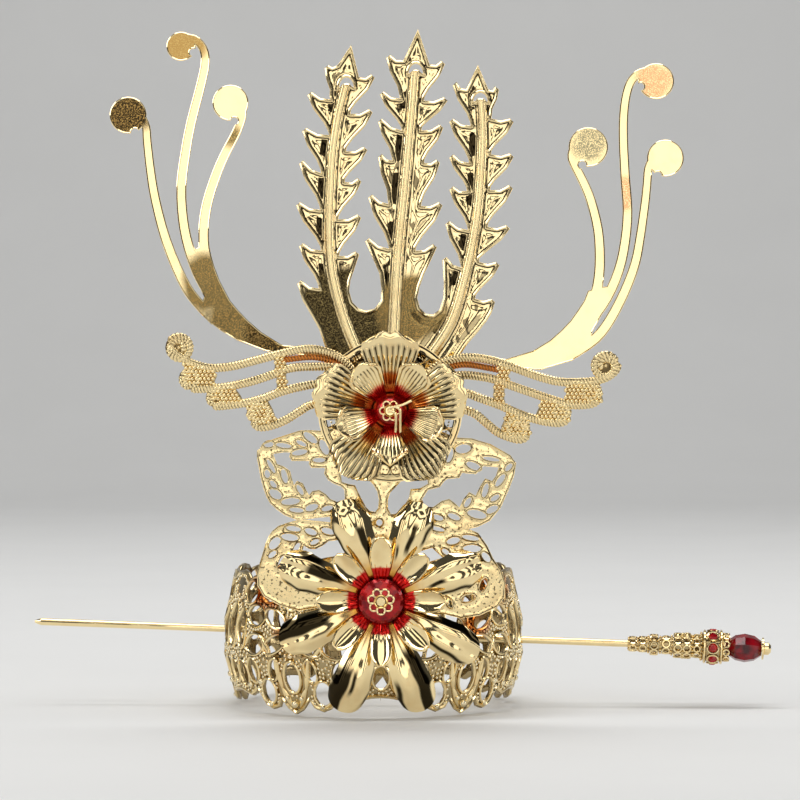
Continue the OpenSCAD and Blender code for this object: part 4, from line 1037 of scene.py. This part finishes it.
# Webs of soldered grains between the strands' ends, and the links between the strands
LEFT_WEBS = [[(-43.6, 83.5), (-36.7, 81.6), (-36, 80.2), (-36.7, 78.4), (-40.8, 77.9), (-43.6, 79.3)],
             [(-36.7, 78.4), (-31.8, 77.5), (-30.4, 75.6), (-29.7, 73.8), (-34.8, 73.3), (-37.6, 75.1)],
             [(-29.3, 73.8), (-24.2, 74.6), (-23, 72.4), (-22.3, 70), (-26.5, 68.7), (-28.8, 70.5)],
             [(-22.8, 85.3), (-20, 86), (-19.9, 81.4), (-22.5, 80.8)],
             [(-22.3, 81.2), (-20, 81.9), (-19.8, 77.2), (-22.1, 76.4)]]
RIGHT_WEBS = [[(44.8, 77.5), (46.9, 79), (52.7, 78.4), (53.4, 74.7), (52.2, 73.6), (44.8, 73.8)],
              [(39.5, 75), (44.8, 73.8), (46, 70.5), (44.8, 69.2), (40, 69.4), (37.4, 70.4)],
              [(31.4, 71.9), (36.3, 70.3), (36.7, 66.6), (34.2, 65.4), (30.9, 66.3), (29.8, 68.4)],
              [(29.1, 83.2), (31.6, 82.4), (31.6, 78.6), (29.1, 79.4)],
              [(28.2, 79.2), (30.7, 78.4), (30.5, 73.4), (27.9, 74.4)]]
GRAIN_R, GRAIN_PITCH = 0.5, 0.96


def web_grains(web):
    """Places for grains in rows over a web, every other row moved by half a step."""
    low_x, low_z = min(x for x, z in web), min(z for x, z in web)
    spots = [(low_x + GRAIN_PITCH * (i + 0.5 * (j % 2)), low_z + 0.87 * GRAIN_PITCH * j)
             for i in range(12) for j in range(12)]
    return [Vector((x, WING_MIDDLE - 0.2, z + WING_RISE)) * MM for x, z in spots if within(x, z, web)]


def risen(row):
    """A row of (x, z) points, moved by the wings' rise."""
    return [(x, z + WING_RISE) for x, z in row]


def add_wing(strands, curls, webs, root, hand):
    """A wing's strands, curls, webs with their grains, and root. The hand is the way its curls turn."""
    bm = bmesh.new()
    shade_layer(bm)
    back, front = WING_MIDDLE + WING_T / 2, WING_MIDDLE - WING_T / 2
    for row in strands:
        add_rope(bm, risen(row), WING_MIDDLE, STRAND_W, WING_T)
    for (x, z, r), row in zip(curls, strands):
        start = math.atan2(row[-1][1] - z, row[-1][0] - x)
        add_curl(bm, x, z + WING_RISE, r, WING_MIDDLE, WING_T, start, hand)
    for web in webs:
        # The webs' fronts are painted shade between their grains
        add_slab(bm, web, back, WING_MIDDLE, WING_RISE, shade=0.6)
        add_beads(bm, web_grains(web), GRAIN_R, 8, 6)
    add_slab(bm, root, back, front, WING_RISE)
    return bm


left_wing = add_wing(LEFT_STRANDS, LEFT_CURLS, LEFT_WEBS, LEFT_ROOT, -1)
right_wing = add_wing(RIGHT_STRANDS, RIGHT_CURLS, RIGHT_WEBS, RIGHT_ROOT, 1)
wing_gold = plating("wing gold", roughness=0.12, wear=0.4)
finish_piece(left_wing, "left_wing", "crown", wing_gold, ["wing_left"])
finish_piece(right_wing, "right_wing", "crown", wing_gold, ["wing_right"])

# %% Copper-red wires under the top strands, a painted orange reflection
LININGS = [[(-21.4, 83.8), (-14.4, 84.6), (-10, 83.8), (-6.4, 82)],
           [(30.4, 81.4), (22.6, 82.8), (18.4, 82.4), (14.4, 81)]]
LINING_W, LINING_T, LINING_DROP = 1.5, 0.9, 0.1
linings = bmesh.new()
shade_layer(linings)
for row in LININGS:
    add_rope(linings, risen(row), WING_MIDDLE + LINING_DROP, LINING_W, LINING_T)
# The copper colour is a painted reflection of the strands' gold, and the grooves take painted shade
copper = plating("copper painted reflection", colour(0.62, 0.22, 0.05), colour(0.34, 0.10, 0.02), hollow=BLACKISH)
finish_piece(linings, "wing_linings", "crown", copper)

# %% [markdown]
# ## Cuff
# The cuff of the real crown is cast lace: a pierced band covered with round wires along every opening
# and strings of tiny beads. Its base here is the CAD's pierced wall, taken a little inwards, so that the
# wires and beads on it end where the CAD's wall ends. They are laid out on the same table of openings,
# drawn flat and then wrapped round the barrel.

# %% Cuff: base
WALL = [(0, 33), (6.25, 34.5), (12.5, 36.2), (20.5, 36.2), (27, 34.7), (33.8, 33.3)]
CUFF_TURN, HALF_MOTIF, REPEATS = 3.2, 36, 5
RELIEF = 0.5
# The base is painted with shade, darker than the wires and beads laid on it
BASE_SHADE = 0.6

cuff = merged_copy("cuff")
cuff_shade = shade_layer(cuff)
for v in cuff.verts:
    r = math.hypot(v.co.x, v.co.y) / MM
    if r > along(WALL, v.co.z / MM) - 0.6:
        v.co.x *= (r - RELIEF) / r
        v.co.y *= (r - RELIEF) / r
    v[cuff_shade] = BASE_SHADE
print("cuff base points:", len(cuff.verts))

# %% Cuff: openings of one motif
# Degrees from the arch, height, length, width and tilt, on an arch's own axis and on both sides of it
AXIS_OPENINGS = [(0, 9, 7.4, 4.4, 90), (0, 28, 6.6, 4.6, 90), (36, 9.4, 5.6, 4, 90),
                 (36, 20.2, 10.6, 4.4, 90)]
SIDE_OPENINGS = [(7.6, 22.4, 7.4, 3.7, 28), (7.6, 16.6, 7.4, 3.7, 152), (18.6, 23, 6.6, 4.8, 10),
                 (18.6, 16.2, 6.6, 4.8, 170), (27.9, 19.6, 9.4, 4.2, 90), (8.5, 10.6, 5.4, 2.9, 105),
                 (13, 5.3, 5.8, 4.4, 90), (20.6, 10, 6, 4, 90), (28.4, 9, 6.4, 4.4, 90),
                 (12, 28.9, 5.4, 5.6, 90), (24.4, 28.2, 5.4, 5.8, 90)]
# Degrees from the arch and height
FOOT_EDGE = [(-0.4, 0), (3.5, 1.2), (6.8, 3.6), (9, 1.6), (12.6, 0.9), (16, 1.7), (18.5, 4), (20.5, 5.6),
             (22.5, 4.6), (25.5, 3.6), (29.5, 4), (33, 4.4), (36, 4.5)]
TOP_EDGE = [(0, 33.6), (5, 33.1), (9, 31.6), (12, 32.3), (18, 32.9), (24, 32.3), (27, 31.2), (31, 32.7),
            (36, 33.3)]
PIN_Z, PIN_DIP, PIN_YAW = 16.8, math.radians(1.9), math.radians(3)
CUFF_R = 36.2
ARCHES = [HALF_MOTIF + 2 * HALF_MOTIF * k + CUFF_TURN for k in range(REPEATS)]


def on_cuff(angle, u, z, lift):
    """A point drawn at (u, z) in mm on a flat pattern whose middle is at an angle from the front."""
    r = along(WALL, z) + lift
    a = math.radians(angle)
    flat = -math.sqrt(r * r - u * u)
    return Vector((u * math.cos(a) - flat * math.sin(a), u * math.sin(a) + flat * math.cos(a), z)) * MM


def eye_distance(angle, z):
    """Distance in mm along the wall from the nearer of the pin's two eyes, which stay clear."""
    a = math.radians(angle)
    side = 1 if math.sin(a) > 0 else -1
    if abs(math.sin(a)) < 0.8:
        return 99
    off = CUFF_R * math.sin(a - side * math.pi / 2)
    return math.hypot(off + CUFF_R * math.tan(PIN_YAW), z - PIN_Z + side * CUFF_R * math.tan(PIN_DIP))


def openings():
    """Every opening as (angle, z, length, width, tilt)."""
    for k in range(REPEATS):
        arch = HALF_MOTIF + 2 * HALF_MOTIF * k
        for a, z, length, width, tilt in AXIS_OPENINGS:
            yield arch + a + CUFF_TURN, z, length, width, tilt
        for a, z, length, width, tilt in SIDE_OPENINGS:
            yield arch + a + CUFF_TURN, z, length, width, tilt
            yield arch - a + CUFF_TURN, z, length, width, 180 - tilt


def oval(z, length, width, tilt, grow, count=22):
    """Points (u, z) of an opening's outline, grown by some mm."""
    c, s = math.cos(math.radians(tilt)), math.sin(math.radians(tilt))
    found = []
    for k in range(count):
        t = 2 * math.pi * k / count
        far, wide = math.cos(t) * (length / 2 + grow), math.sin(t) * (width / 2 + grow)
        found.append((far * c - wide * s, z + far * s + wide * c))
    return found


EYE_CLEARANCE, DROP_CLEARANCE, BEAD_CLEARANCE = 6, 4, 2.2
OPENINGS = [o for o in openings() if eye_distance(o[0], o[1]) > EYE_CLEARANCE]
print("openings:", len(OPENINGS))

# %% Cuff: wires round the openings, and the edges
FRAME_R, BEAD_R, EDGE_R = 0.32, 0.44, 0.44
frames = [[on_cuff(angle, u, zz, -FRAME_R) for u, zz in oval(z, length, width, tilt, 0.12)]
          for angle, z, length, width, tilt in OPENINGS]
wire(cuff, frames, FRAME_R)


def edge_row(table, inwards, lift):
    """The foot's or the top's edge all round the cuff, moved inwards by some mm."""
    row = []
    for arch in ARCHES:
        marks = [(arch - a, z) for a, z in table if 0 < a < HALF_MOTIF]
        marks += [(arch + a, z) for a, z in table if a < HALF_MOTIF]
        row += [on_cuff(a, 0, max(z, 0) + inwards, lift) for a, z in sorted(marks)]
    return row


foot_rim, top_rim = edge_row(FOOT_EDGE, 0.55, -EDGE_R), edge_row(TOP_EDGE, -0.5, -EDGE_R)
wire(cuff, [foot_rim, top_rim], EDGE_R)
print("frames:", len(frames), "edge points:", len(foot_rim) + len(top_rim))

# %% Cuff: leaf blades beside the pointed arches, and the drops in them
# Each row: degrees from the arch and height, from the lower end to the upper end of a blade
BLADES = [((1.6, 1.6), (6, 7)), ((5.4, 5.4), (7.8, 13.6)), ((9.4, 13.4), (15, 18.6))]
BLADE_W, BLADE_T, BLADE_LIFT = 1.7, 1.1, -0.5
# Each row: degrees from the arch, height, radius and how far the middle lies off the wall
DROPS = [(0, 2.6, 0.95, -0.1), (-3.4, 4, 0.65, -0.1), (3.4, 4, 0.65, -0.1), (-16.8, 7.4, 0.75, -0.2),
         (16.8, 7.4, 0.75, -0.2), (-36, 13.6, 0.8, -0.7), (-24.4, 6.4, 0.7, -0.2), (24.4, 6.4, 0.7, -0.2),
         (0, 14, 0.8, -0.7), (0, 23.4, 0.7, -0.6), (-12.6, 2.2, 0.6, -0.1), (12.6, 2.2, 0.6, -0.1)]


def add_blade(bm, foot, tip):
    """A pointed leaf from one place to another: a flattened sphere drawn out to both ends."""
    part = bmesh.new()
    way = tip - foot
    out = Vector((foot.x + tip.x, foot.y + tip.y, 0)).normalized()
    across = way.cross(out).normalized()
    bmesh.ops.create_uvsphere(part, u_segments=12, v_segments=10, radius=1)
    for v in part.verts:
        taper = (1 - min(v.co.z * v.co.z, 1)) ** 0.3
        v.co = ((foot + tip) / 2 + way * v.co.z / 2 + across * v.co.x * taper * BLADE_W / 2 * MM
                + out * v.co.y * BLADE_T / 2 * MM)
    add_part(bm, part)


cuff_beads = bmesh.new()
reserved = []
for arch in ARCHES:
    for side in (-1, 1):
        for (a0, z0), (a1, z1) in BLADES:
            if eye_distance(arch + side * a1, z1) > DROP_CLEARANCE:
                foot = on_cuff(arch + side * a0, 0, z0, BLADE_LIFT)
                tip = on_cuff(arch + side * a1, 0, z1, BLADE_LIFT)
                add_blade(cuff, foot, tip)
                reserved += [(foot.lerp(tip, n / 8), BLADE_W / 2) for n in range(9)]
    for a, z, radius, lift in DROPS:
        if eye_distance(arch + a, z) > DROP_CLEARANCE:
            place = on_cuff(arch + a, 0, z, lift)
            add_beads(cuff_beads, [place], radius, 12, 8)
            reserved.append((place, radius))
print("places taken by blades and drops:", len(reserved))

# %% Cuff: bead strings
BEADS_APART, BEAD_STEP, EDGE_BEADS = 0.86, 0.76, 38
taken = {}


def free_spot(place, apart_mm):
    """True if no earlier bead is nearer than apart_mm; remembers the bead."""
    cell = tuple(int(c / (apart_mm * MM)) for c in place)
    for near in product(*((c - 1, c, c + 1) for c in cell)):
        if any((other - place).length < apart_mm * MM for other in taken.get(near, ())):
            return False
    taken.setdefault(cell, []).append(place)
    return True


def inside_opening(angle, z, margin):
    """True inside an opening or nearer to its edge than a margin in mm."""
    for a, oz, length, width, tilt in OPENINGS:
        u = math.sin(math.radians(angle - a)) * along(WALL, z)
        if abs(u) > 6 or math.cos(math.radians(angle - a)) < 0:
            continue
        c, s = math.cos(math.radians(tilt)), math.sin(math.radians(tilt))
        far, wide = u * c + (z - oz) * s, (z - oz) * c - u * s
        if (far / (length / 2 + margin)) ** 2 + (wide / (width / 2 + margin)) ** 2 < 1:
            return True
    return False


beads_at = []
for angle, z, length, width, tilt in OPENINGS:
    around = int(math.pi * (length + width + 2) / 2 / BEAD_STEP)
    for grow in (0.85, 1.75):
        for u, zz in oval(z, length, width, tilt, grow, around + round(7 * (grow - 0.85))):
            beads_at.append((angle + math.degrees(math.asin(u / along(WALL, zz))), zz))
for table, sign in ((FOOT_EDGE, 1), (TOP_EDGE, -1)):
    for arch, side in product(ARCHES, (-1, 1)):
        for n in range(EDGE_BEADS):
            a = HALF_MOTIF * n / EDGE_BEADS
            beads_at.append((arch + side * a, along(table, a) + sign * 1.3))
strings = []
for angle, z in beads_at:
    if z < 0.5 or z > 33 or inside_opening(angle, z, 0.5) or eye_distance(angle, z) < BEAD_CLEARANCE:
        continue
    arch_angle = abs((angle - CUFF_TURN - HALF_MOTIF) % (2 * HALF_MOTIF))
    arch_angle = min(arch_angle, 2 * HALF_MOTIF - arch_angle)
    if z < along(FOOT_EDGE, arch_angle) + 0.9 or z > along(TOP_EDGE, arch_angle) - 0.9:
        continue
    place = on_cuff(angle, 0, z, -BEAD_R)
    if any((place - other).length < (radius + BEAD_R) * MM for other, radius in reserved):
        continue
    if free_spot(place, BEADS_APART):
        strings.append(place)
add_beads(cuff_beads, strings, BEAD_R, 6, 4)
print("beads:", len(strings))

# Painted orange reflections: (x, z, radius in mm, colour)
CUFF_PAINTED_REFLECTIONS = [(-25, 29, 4, ORANGE), (28, 29, 4, ORANGE), (-20, 19, 3, ORANGE), (24, 21, 3, ORANGE)]
cuff_gold = plating("cuff gold", roughness=0.14, wear=0.4, tints=CUFF_PAINTED_REFLECTIONS)
# The beads and drops are painted a lighter gold than the base, a painted highlight
highlit_bead_gold = plating("bead gold", light=colour(1, 0.88, 0.60), roughness=0.1, wear=0.3, tints=CUFF_PAINTED_REFLECTIONS)
finish_piece(cuff, "cuff_lace", "crown", cuff_gold, ["cuff"], crease=50)
finish_piece(cuff_beads, "cuff_beads", "crown", highlit_bead_gold, crease=70)

# %% [markdown]
# ## Caps, wire and backing
# The bead caps on both domes are bent from one thin wire: a ring of loops round a short tube. Two wires
# side by side hang from the upper cap, and a third with small beads on it points up to the right. The
# disc behind the upper flower keeps its CAD solid. Loops of wire and dots lie on it and show between the
# petals.

# %% Caps
def spun(part, geom, centre, axis, steps):
    """Spins a profile all the way round an axis and closes its seam."""
    bmesh.ops.spin(part, geom=geom, cent=centre, axis=axis, dvec=(0, 0, 0), angle=2 * math.pi,
                   steps=steps, use_merge=True, use_duplicate=False)
    bmesh.ops.remove_doubles(part, verts=part.verts[:], dist=0.001 * MM)
    bmesh.ops.recalc_face_normals(part, faces=part.faces[:])


def add_tube(bm, centre, outer_mm, inner_mm, height_mm, sides=24):
    """A short tube that points to the front, spun from a small rounded profile."""
    part = bmesh.new()
    size = (outer_mm - inner_mm) / 2
    profile = bmesh.ops.create_circle(part, cap_ends=False, radius=1, segments=8)["verts"]
    for v in profile:
        turn = math.atan2(v.co.y, v.co.x)
        off = Vector((inner_mm + size + size * math.cos(turn), -height_mm / 2 * (1 + math.sin(turn)), 0))
        v.co = centre + off * MM
    spun(part, part.verts[:] + part.edges[:], centre, FRONT, sides)
    add_part(bm, part)


def add_cap(name, node, centre, radius, loops, tube_r, tube_h, base_y, wire_r, turn=0.0):
    """A ring of wire loops round a tube, at the place of the CAD's cap."""
    bm = bmesh.new()
    middle = Vector((centre.x, (base_y - wire_r) * MM, centre.z))
    loop_r = math.sin(math.pi / loops) * (radius - wire_r) / (1 + math.sin(math.pi / loops))
    rows = []
    for k in range(loops):
        a = math.radians(turn) + 2 * math.pi * k / loops
        rows.append(ring_row(middle + (radius - wire_r - loop_r) * MM * spoke(a), loop_r, 16))
    wire(bm, rows, wire_r, sides=2)
    add_tube(bm, Vector((centre.x, base_y * MM, centre.z)), tube_r, POST_R, tube_h)
    finish_piece(bm, name, "crown", stamped_gold, [node])


POST_R = 1.12
print("caps in the CAD, mm:", [[round(c / MM, 2) for c in corner] for n in ("upper_cap", "lower_cap")
                               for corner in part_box(n)])
add_cap("upper_bead_cap", "upper_cap", UPPER, 2.6, 6, 1.45, 0.9, -44.75, 0.22)
add_cap("lower_bead_cap", "lower_cap", LOWER, 3.3, 7, 1.7, 1.3, -41.7, 0.27, turn=13)

# %% The bent double wire
WIRE_Y, WIRE_R = -46.2, 0.32
ARM_BEAD_R, EYE_BEAD_R = 0.34, 0.6
WIRES = [[(-0.5, -0.1), (0.5, -0.1), (1.3, -0.9), (1.3, -4.3), (1.15, -4.9)],
         [(-0.4, 0.7), (1.2, 0.9), (2.2, 0.4), (2.35, -0.6), (2.35, -4.3), (2.5, -4.9)],
         [(1.2, 1), (2.9, 1.4), (4.8, 2.3)]]
wires = bmesh.new()
rows = [[UPPER + Vector((p.x, WIRE_Y, p.y)) * MM for p in smooth_row(row, 5)] for row in WIRES]
wire(wires, rows, WIRE_R, closed=False, sides=2)
length, at = measured([Vector(p) for p in WIRES[2]])
arm = [at(length * k / 5)[0] for k in range(6)]
add_beads(wires, [UPPER + Vector((p.x, WIRE_Y + 0.02, p.y)) * MM for p in arm], ARM_BEAD_R, 8, 6)
add_beads(wires, [UPPER + Vector((0, WIRE_Y + 0.3, 0.2)) * MM], EYE_BEAD_R, 12, 8)
finish_piece(wires, "double_wire", "crown", stamped_gold, ["upper_wire"])

# %% Backing disc: rim, loops and dots
DISC_R, DISC_FRONT = 16.7, -38.0
GAP_ANGLES = [math.radians(54 + 72 * k) for k in range(5)]  # the middles of the gaps between the fan petals
LOOPS_AT, LOOP_R, DOT_R = 14.1, 1.4, 0.26
disc_at = UPPER + Vector((0, DISC_FRONT + 0.1, 0)) * MM
filigree = bmesh.new()
wire(filigree, [ring_row(disc_at, DISC_R - inset, 96) for inset in (0.35, 1.6)], 0.27)
loops, dots = [], []
for gap in GAP_ANGLES:
    for side in (-1, 1):
        at_loop = disc_at + LOOPS_AT * MM * spoke(gap + side * math.radians(6.5))
        loops.append(ring_row(at_loop, LOOP_R, 16))
    for n, row in product(range(-7, 8), range(4)):
        if abs(n) > 4 or row > 2:
            dots.append(disc_at + (10.6 + 1.1 * row) * MM * spoke(gap + math.radians(3.2 * n)))
wire(filigree, loops, 0.24)
add_beads(filigree, dots, DOT_R, 6, 4)
finish_piece(filigree, "backing_filigree", "crown", stamped_gold)

# %% [markdown]
# ## Hairpin's sleeve
# The sleeve is filigree: rings of small wire loops round a thin core, with rings of beads between them and
# two plain hoops that hold the stones. The rings are laid out along the rod in the pin's own frame.

# %% Sleeve
PIN_FRAME = (Matrix.Translation(Vector((0, 0, PIN_Z)) * MM) @ Matrix.Rotation(-PIN_YAW, 4, "Z")
             @ Matrix.Rotation(PIN_DIP, 4, "Y") @ Matrix.Rotation(math.pi / 2, 4, "Y"))
SLEEVE_AT = 61.5
# The core's outline: place along the sleeve and radius
CORE = [(0, 1.15), (3, 1.25), (6.4, 1.9), (8.4, 1.5), (12, 2.3), (15, 2.4), (16.4, 1.8), (18.2, 3.4),
        (18.6, 3.55), (22.2, 3.55), (22.6, 3.4), (24, 1.9)]
# The core is painted with shade, under its loops and beads
BORE_R, CORE_SHADE = 0.95, 0.6
LOOP_WIRE_R, HOOP_R, SLEEVE_BEAD_R = 0.24, 0.3, 0.34
# Rings of loops: place along the sleeve, radius of the ring, loops in it, radius of a loop
LOOP_RINGS = [(1.2, 1.6, 6, 0.75), (3.6, 1.7, 6, 0.8), (6.3, 2.3, 8, 0.85), (9.2, 1.95, 7, 0.85),
              (12, 2.75, 9, 0.9), (14.2, 2.85, 9, 0.85), (16.6, 2.6, 9, 0.75), (20.4, 3.85, 8, 1.3),
              (23.6, 3.2, 10, 0.7)]
# Rings of beads: place along the sleeve, radius of the ring, beads in it. Hoops: place and radius
BEAD_RINGS = [(0.2, 1.35, 10), (2.4, 1.45, 11), (4.9, 1.9, 13), (7.8, 1.9, 13), (10.5, 2.2, 15),
              (13.1, 2.85, 18), (15.5, 2.45, 16), (17.6, 3.2, 20)]
HOOPS = [(18.4, 3.8), (22.4, 3.9)]


def pin_point(s, radius, turn, along_mm=0.0, sideways=0.0):
    """A point at s along the sleeve, at a turn round it, moved along and sideways on its surface."""
    out = Vector((math.cos(turn), math.sin(turn), 0))
    side = Vector((-math.sin(turn), math.cos(turn), 0))
    return PIN_FRAME @ ((out * radius + side * sideways + Vector((0, 0, SLEEVE_AT + s + along_mm))) * MM)


sleeve = bmesh.new()
core = bmesh.new()
profile = [pin_point(s, r, 0) for s, r in CORE] + [pin_point(24, BORE_R, 0), pin_point(0, BORE_R, 0)]
ring = [core.verts.new(p) for p in profile]
edges = [core.edges.new((ring[k], ring[(k + 1) % len(ring)])) for k in range(len(ring))]
spun(core, ring + edges, PIN_FRAME.translation, PIN_FRAME.to_3x3() @ Vector((0, 0, 1)), 32)
core_shade = shade_layer(core)
for v in core.verts:
    v[core_shade] = CORE_SHADE
shade_layer(sleeve)
add_part(sleeve, core)
rows = []
for s, radius, count, loop_r in LOOP_RINGS:
    for k in range(count):
        turn = 2 * math.pi * k / count
        rows.append([pin_point(s, radius, turn, loop_r * math.cos(a), loop_r * math.sin(a))
                     for a in (2 * math.pi * n / 14 for n in range(14))])
wire(sleeve, rows, LOOP_WIRE_R)
wire(sleeve, [[pin_point(s, radius, 2 * math.pi * k / 40) for k in range(40)] for s, radius in HOOPS], HOOP_R)
add_beads(sleeve, [pin_point(s, radius, 2 * math.pi * k / count) for s, radius, count in BEAD_RINGS
                   for k in range(count)], SLEEVE_BEAD_R, 6, 5)
finish_piece(sleeve, "sleeve_filigree", "hairpin", plating("sleeve gold", roughness=0.1), ["pin_sleeve"])

# %% [markdown]
# ## Studio
# Polished gold shows its surroundings, so the light is made of large soft panels with dark between
# them: bright bands beside dark ones are what makes it look like metal. The floor is a pale sweep that
# curves up behind the crown.

# %% Floor
FLOOR_HALF, FLOOR_START, BEND_START, BEND_RADIUS = 2.0, -0.98, 1.05, 0.5
WIDER, STEEPER = 2, 6  # how the grid is drawn out sideways, and upwards behind the bend
sweep = bmesh.new()
bmesh.ops.create_grid(sweep, x_segments=8, y_segments=80, size=FLOOR_HALF,
                      matrix=Matrix.Translation((0, FLOOR_HALF + FLOOR_START, 0)))
for vert in sweep.verts:
    over = vert.co.y - BEND_START
    vert.co.x *= WIDER
    if over > 0:
        turn = min(over / BEND_RADIUS, math.pi / 2)
        rest = max(over - BEND_RADIUS * math.pi / 2, 0)
        vert.co.y = BEND_START + BEND_RADIUS * math.sin(turn)
        vert.co.z = BEND_RADIUS * (1 - math.cos(turn)) + rest * STEEPER
floor_mesh = bpy.data.meshes.new("floor")
sweep.to_mesh(floor_mesh)
sweep.free()
floor_mesh.shade_smooth()
floor = bpy.data.objects.new("floor", floor_mesh)
floor.location.z = -0.2 * MM
bpy.context.collection.objects.link(floor)
floor_paint = Finish("floor", Roughness=0.7)
floor_mesh.materials.append(floor_paint.use(Base_Color=floor_paint.blend(
    floor_paint.noise(60), colour(0.74, 0.74, 0.73), colour(0.78, 0.78, 0.77))))
print("floor faces", len(floor_mesh.polygons))

# %% Light panels
def panel(name, place, size, brightness, facing=None, warmth=(1, 1, 1)):
    """A glowing panel that looks at the crown or at another place. Brightness is per area."""
    light = bpy.data.lights.new(name, "AREA")
    light.shape = "RECTANGLE"
    light.size, light.size_y = size
    light.energy = brightness * math.pi * size[0] * size[1]
    light.color = warmth
    lamp = bpy.data.objects.new(name, light)
    lamp.location = place
    lamp.rotation_euler = ((facing or LOOK_AT) - Vector(place)).to_track_quat("-Z", "Y").to_euler()
    bpy.context.collection.objects.link(lamp)


# The wall behind the camera: (left, right, bottom, top) of each of its panels, round one dark window
WALL_Y, WALL_LIGHT, CREAM = -1.0, 1.5, (1, 0.97, 0.92)
WALL_PANELS = [(-0.22, 0.22, 0.0, 0.15), (-0.22, -0.10, 0.15, 0.28), (0.04, 0.22, 0.15, 0.28),
               (-0.22, 0.22, 0.28, 0.62), (-0.56, -0.36, 0.0, 0.5), (0.36, 0.56, 0.0, 0.5),
               (-0.95, -0.72, 0.0, 0.7), (0.72, 0.95, 0.0, 0.7), (-0.7, 0.7, 0.75, 1.0)]
for k, (left, right, low, high) in enumerate(WALL_PANELS):
    middle = Vector(((left + right) / 2, WALL_Y, (low + high) / 2))
    panel(f"wall {k}", middle, (right - left, high - low), WALL_LIGHT, middle - FRONT, CREAM)
# Name, place, size, brightness and, for the last, where it looks
for row in [("key", (-0.75, -0.35, 0.55), (0.25, 0.6), 4), ("rim", (0.8, -0.1, 0.35), (0.2, 0.6), 4),
            ("top", (0.0, -0.25, 1.0), (0.8, 0.3), 4), ("back", (0.0, 0.35, 1.1), (1.2, 0.4), 3),
            ("sweep", (0.0, 0.3, 1.3), (1.6, 0.5), 3, Vector((0, 1.5, 0.3)))]:
    panel(*row)
print("lights:", len(bpy.data.lights))

# %% World
# The room is dark to the metal and pale to the camera, which sees it beyond the floor in the side views
DARK_ROOM, PALE_ROOM = 0.06, 0.55
world = bpy.data.worlds.new("studio")
world.use_nodes = True
nodes, links = world.node_tree.nodes, world.node_tree.links
room, seen, strength = nodes["Background"], nodes.new("ShaderNodeLightPath"), nodes.new("ShaderNodeMapRange")
room.inputs["Color"].default_value = colour(0.95, 0.97, 1)
strength.inputs["To Min"].default_value, strength.inputs["To Max"].default_value = DARK_ROOM, PALE_ROOM
links.new(seen.outputs["Is Camera Ray"], strength.inputs["Value"])
links.new(strength.outputs["Result"], room.inputs["Strength"])
bpy.context.scene.world = world
bpy.context.scene.view_settings.view_transform = "Standard"
print("world:", world.name)

# %% The end
bpy.context.view_layer.update()
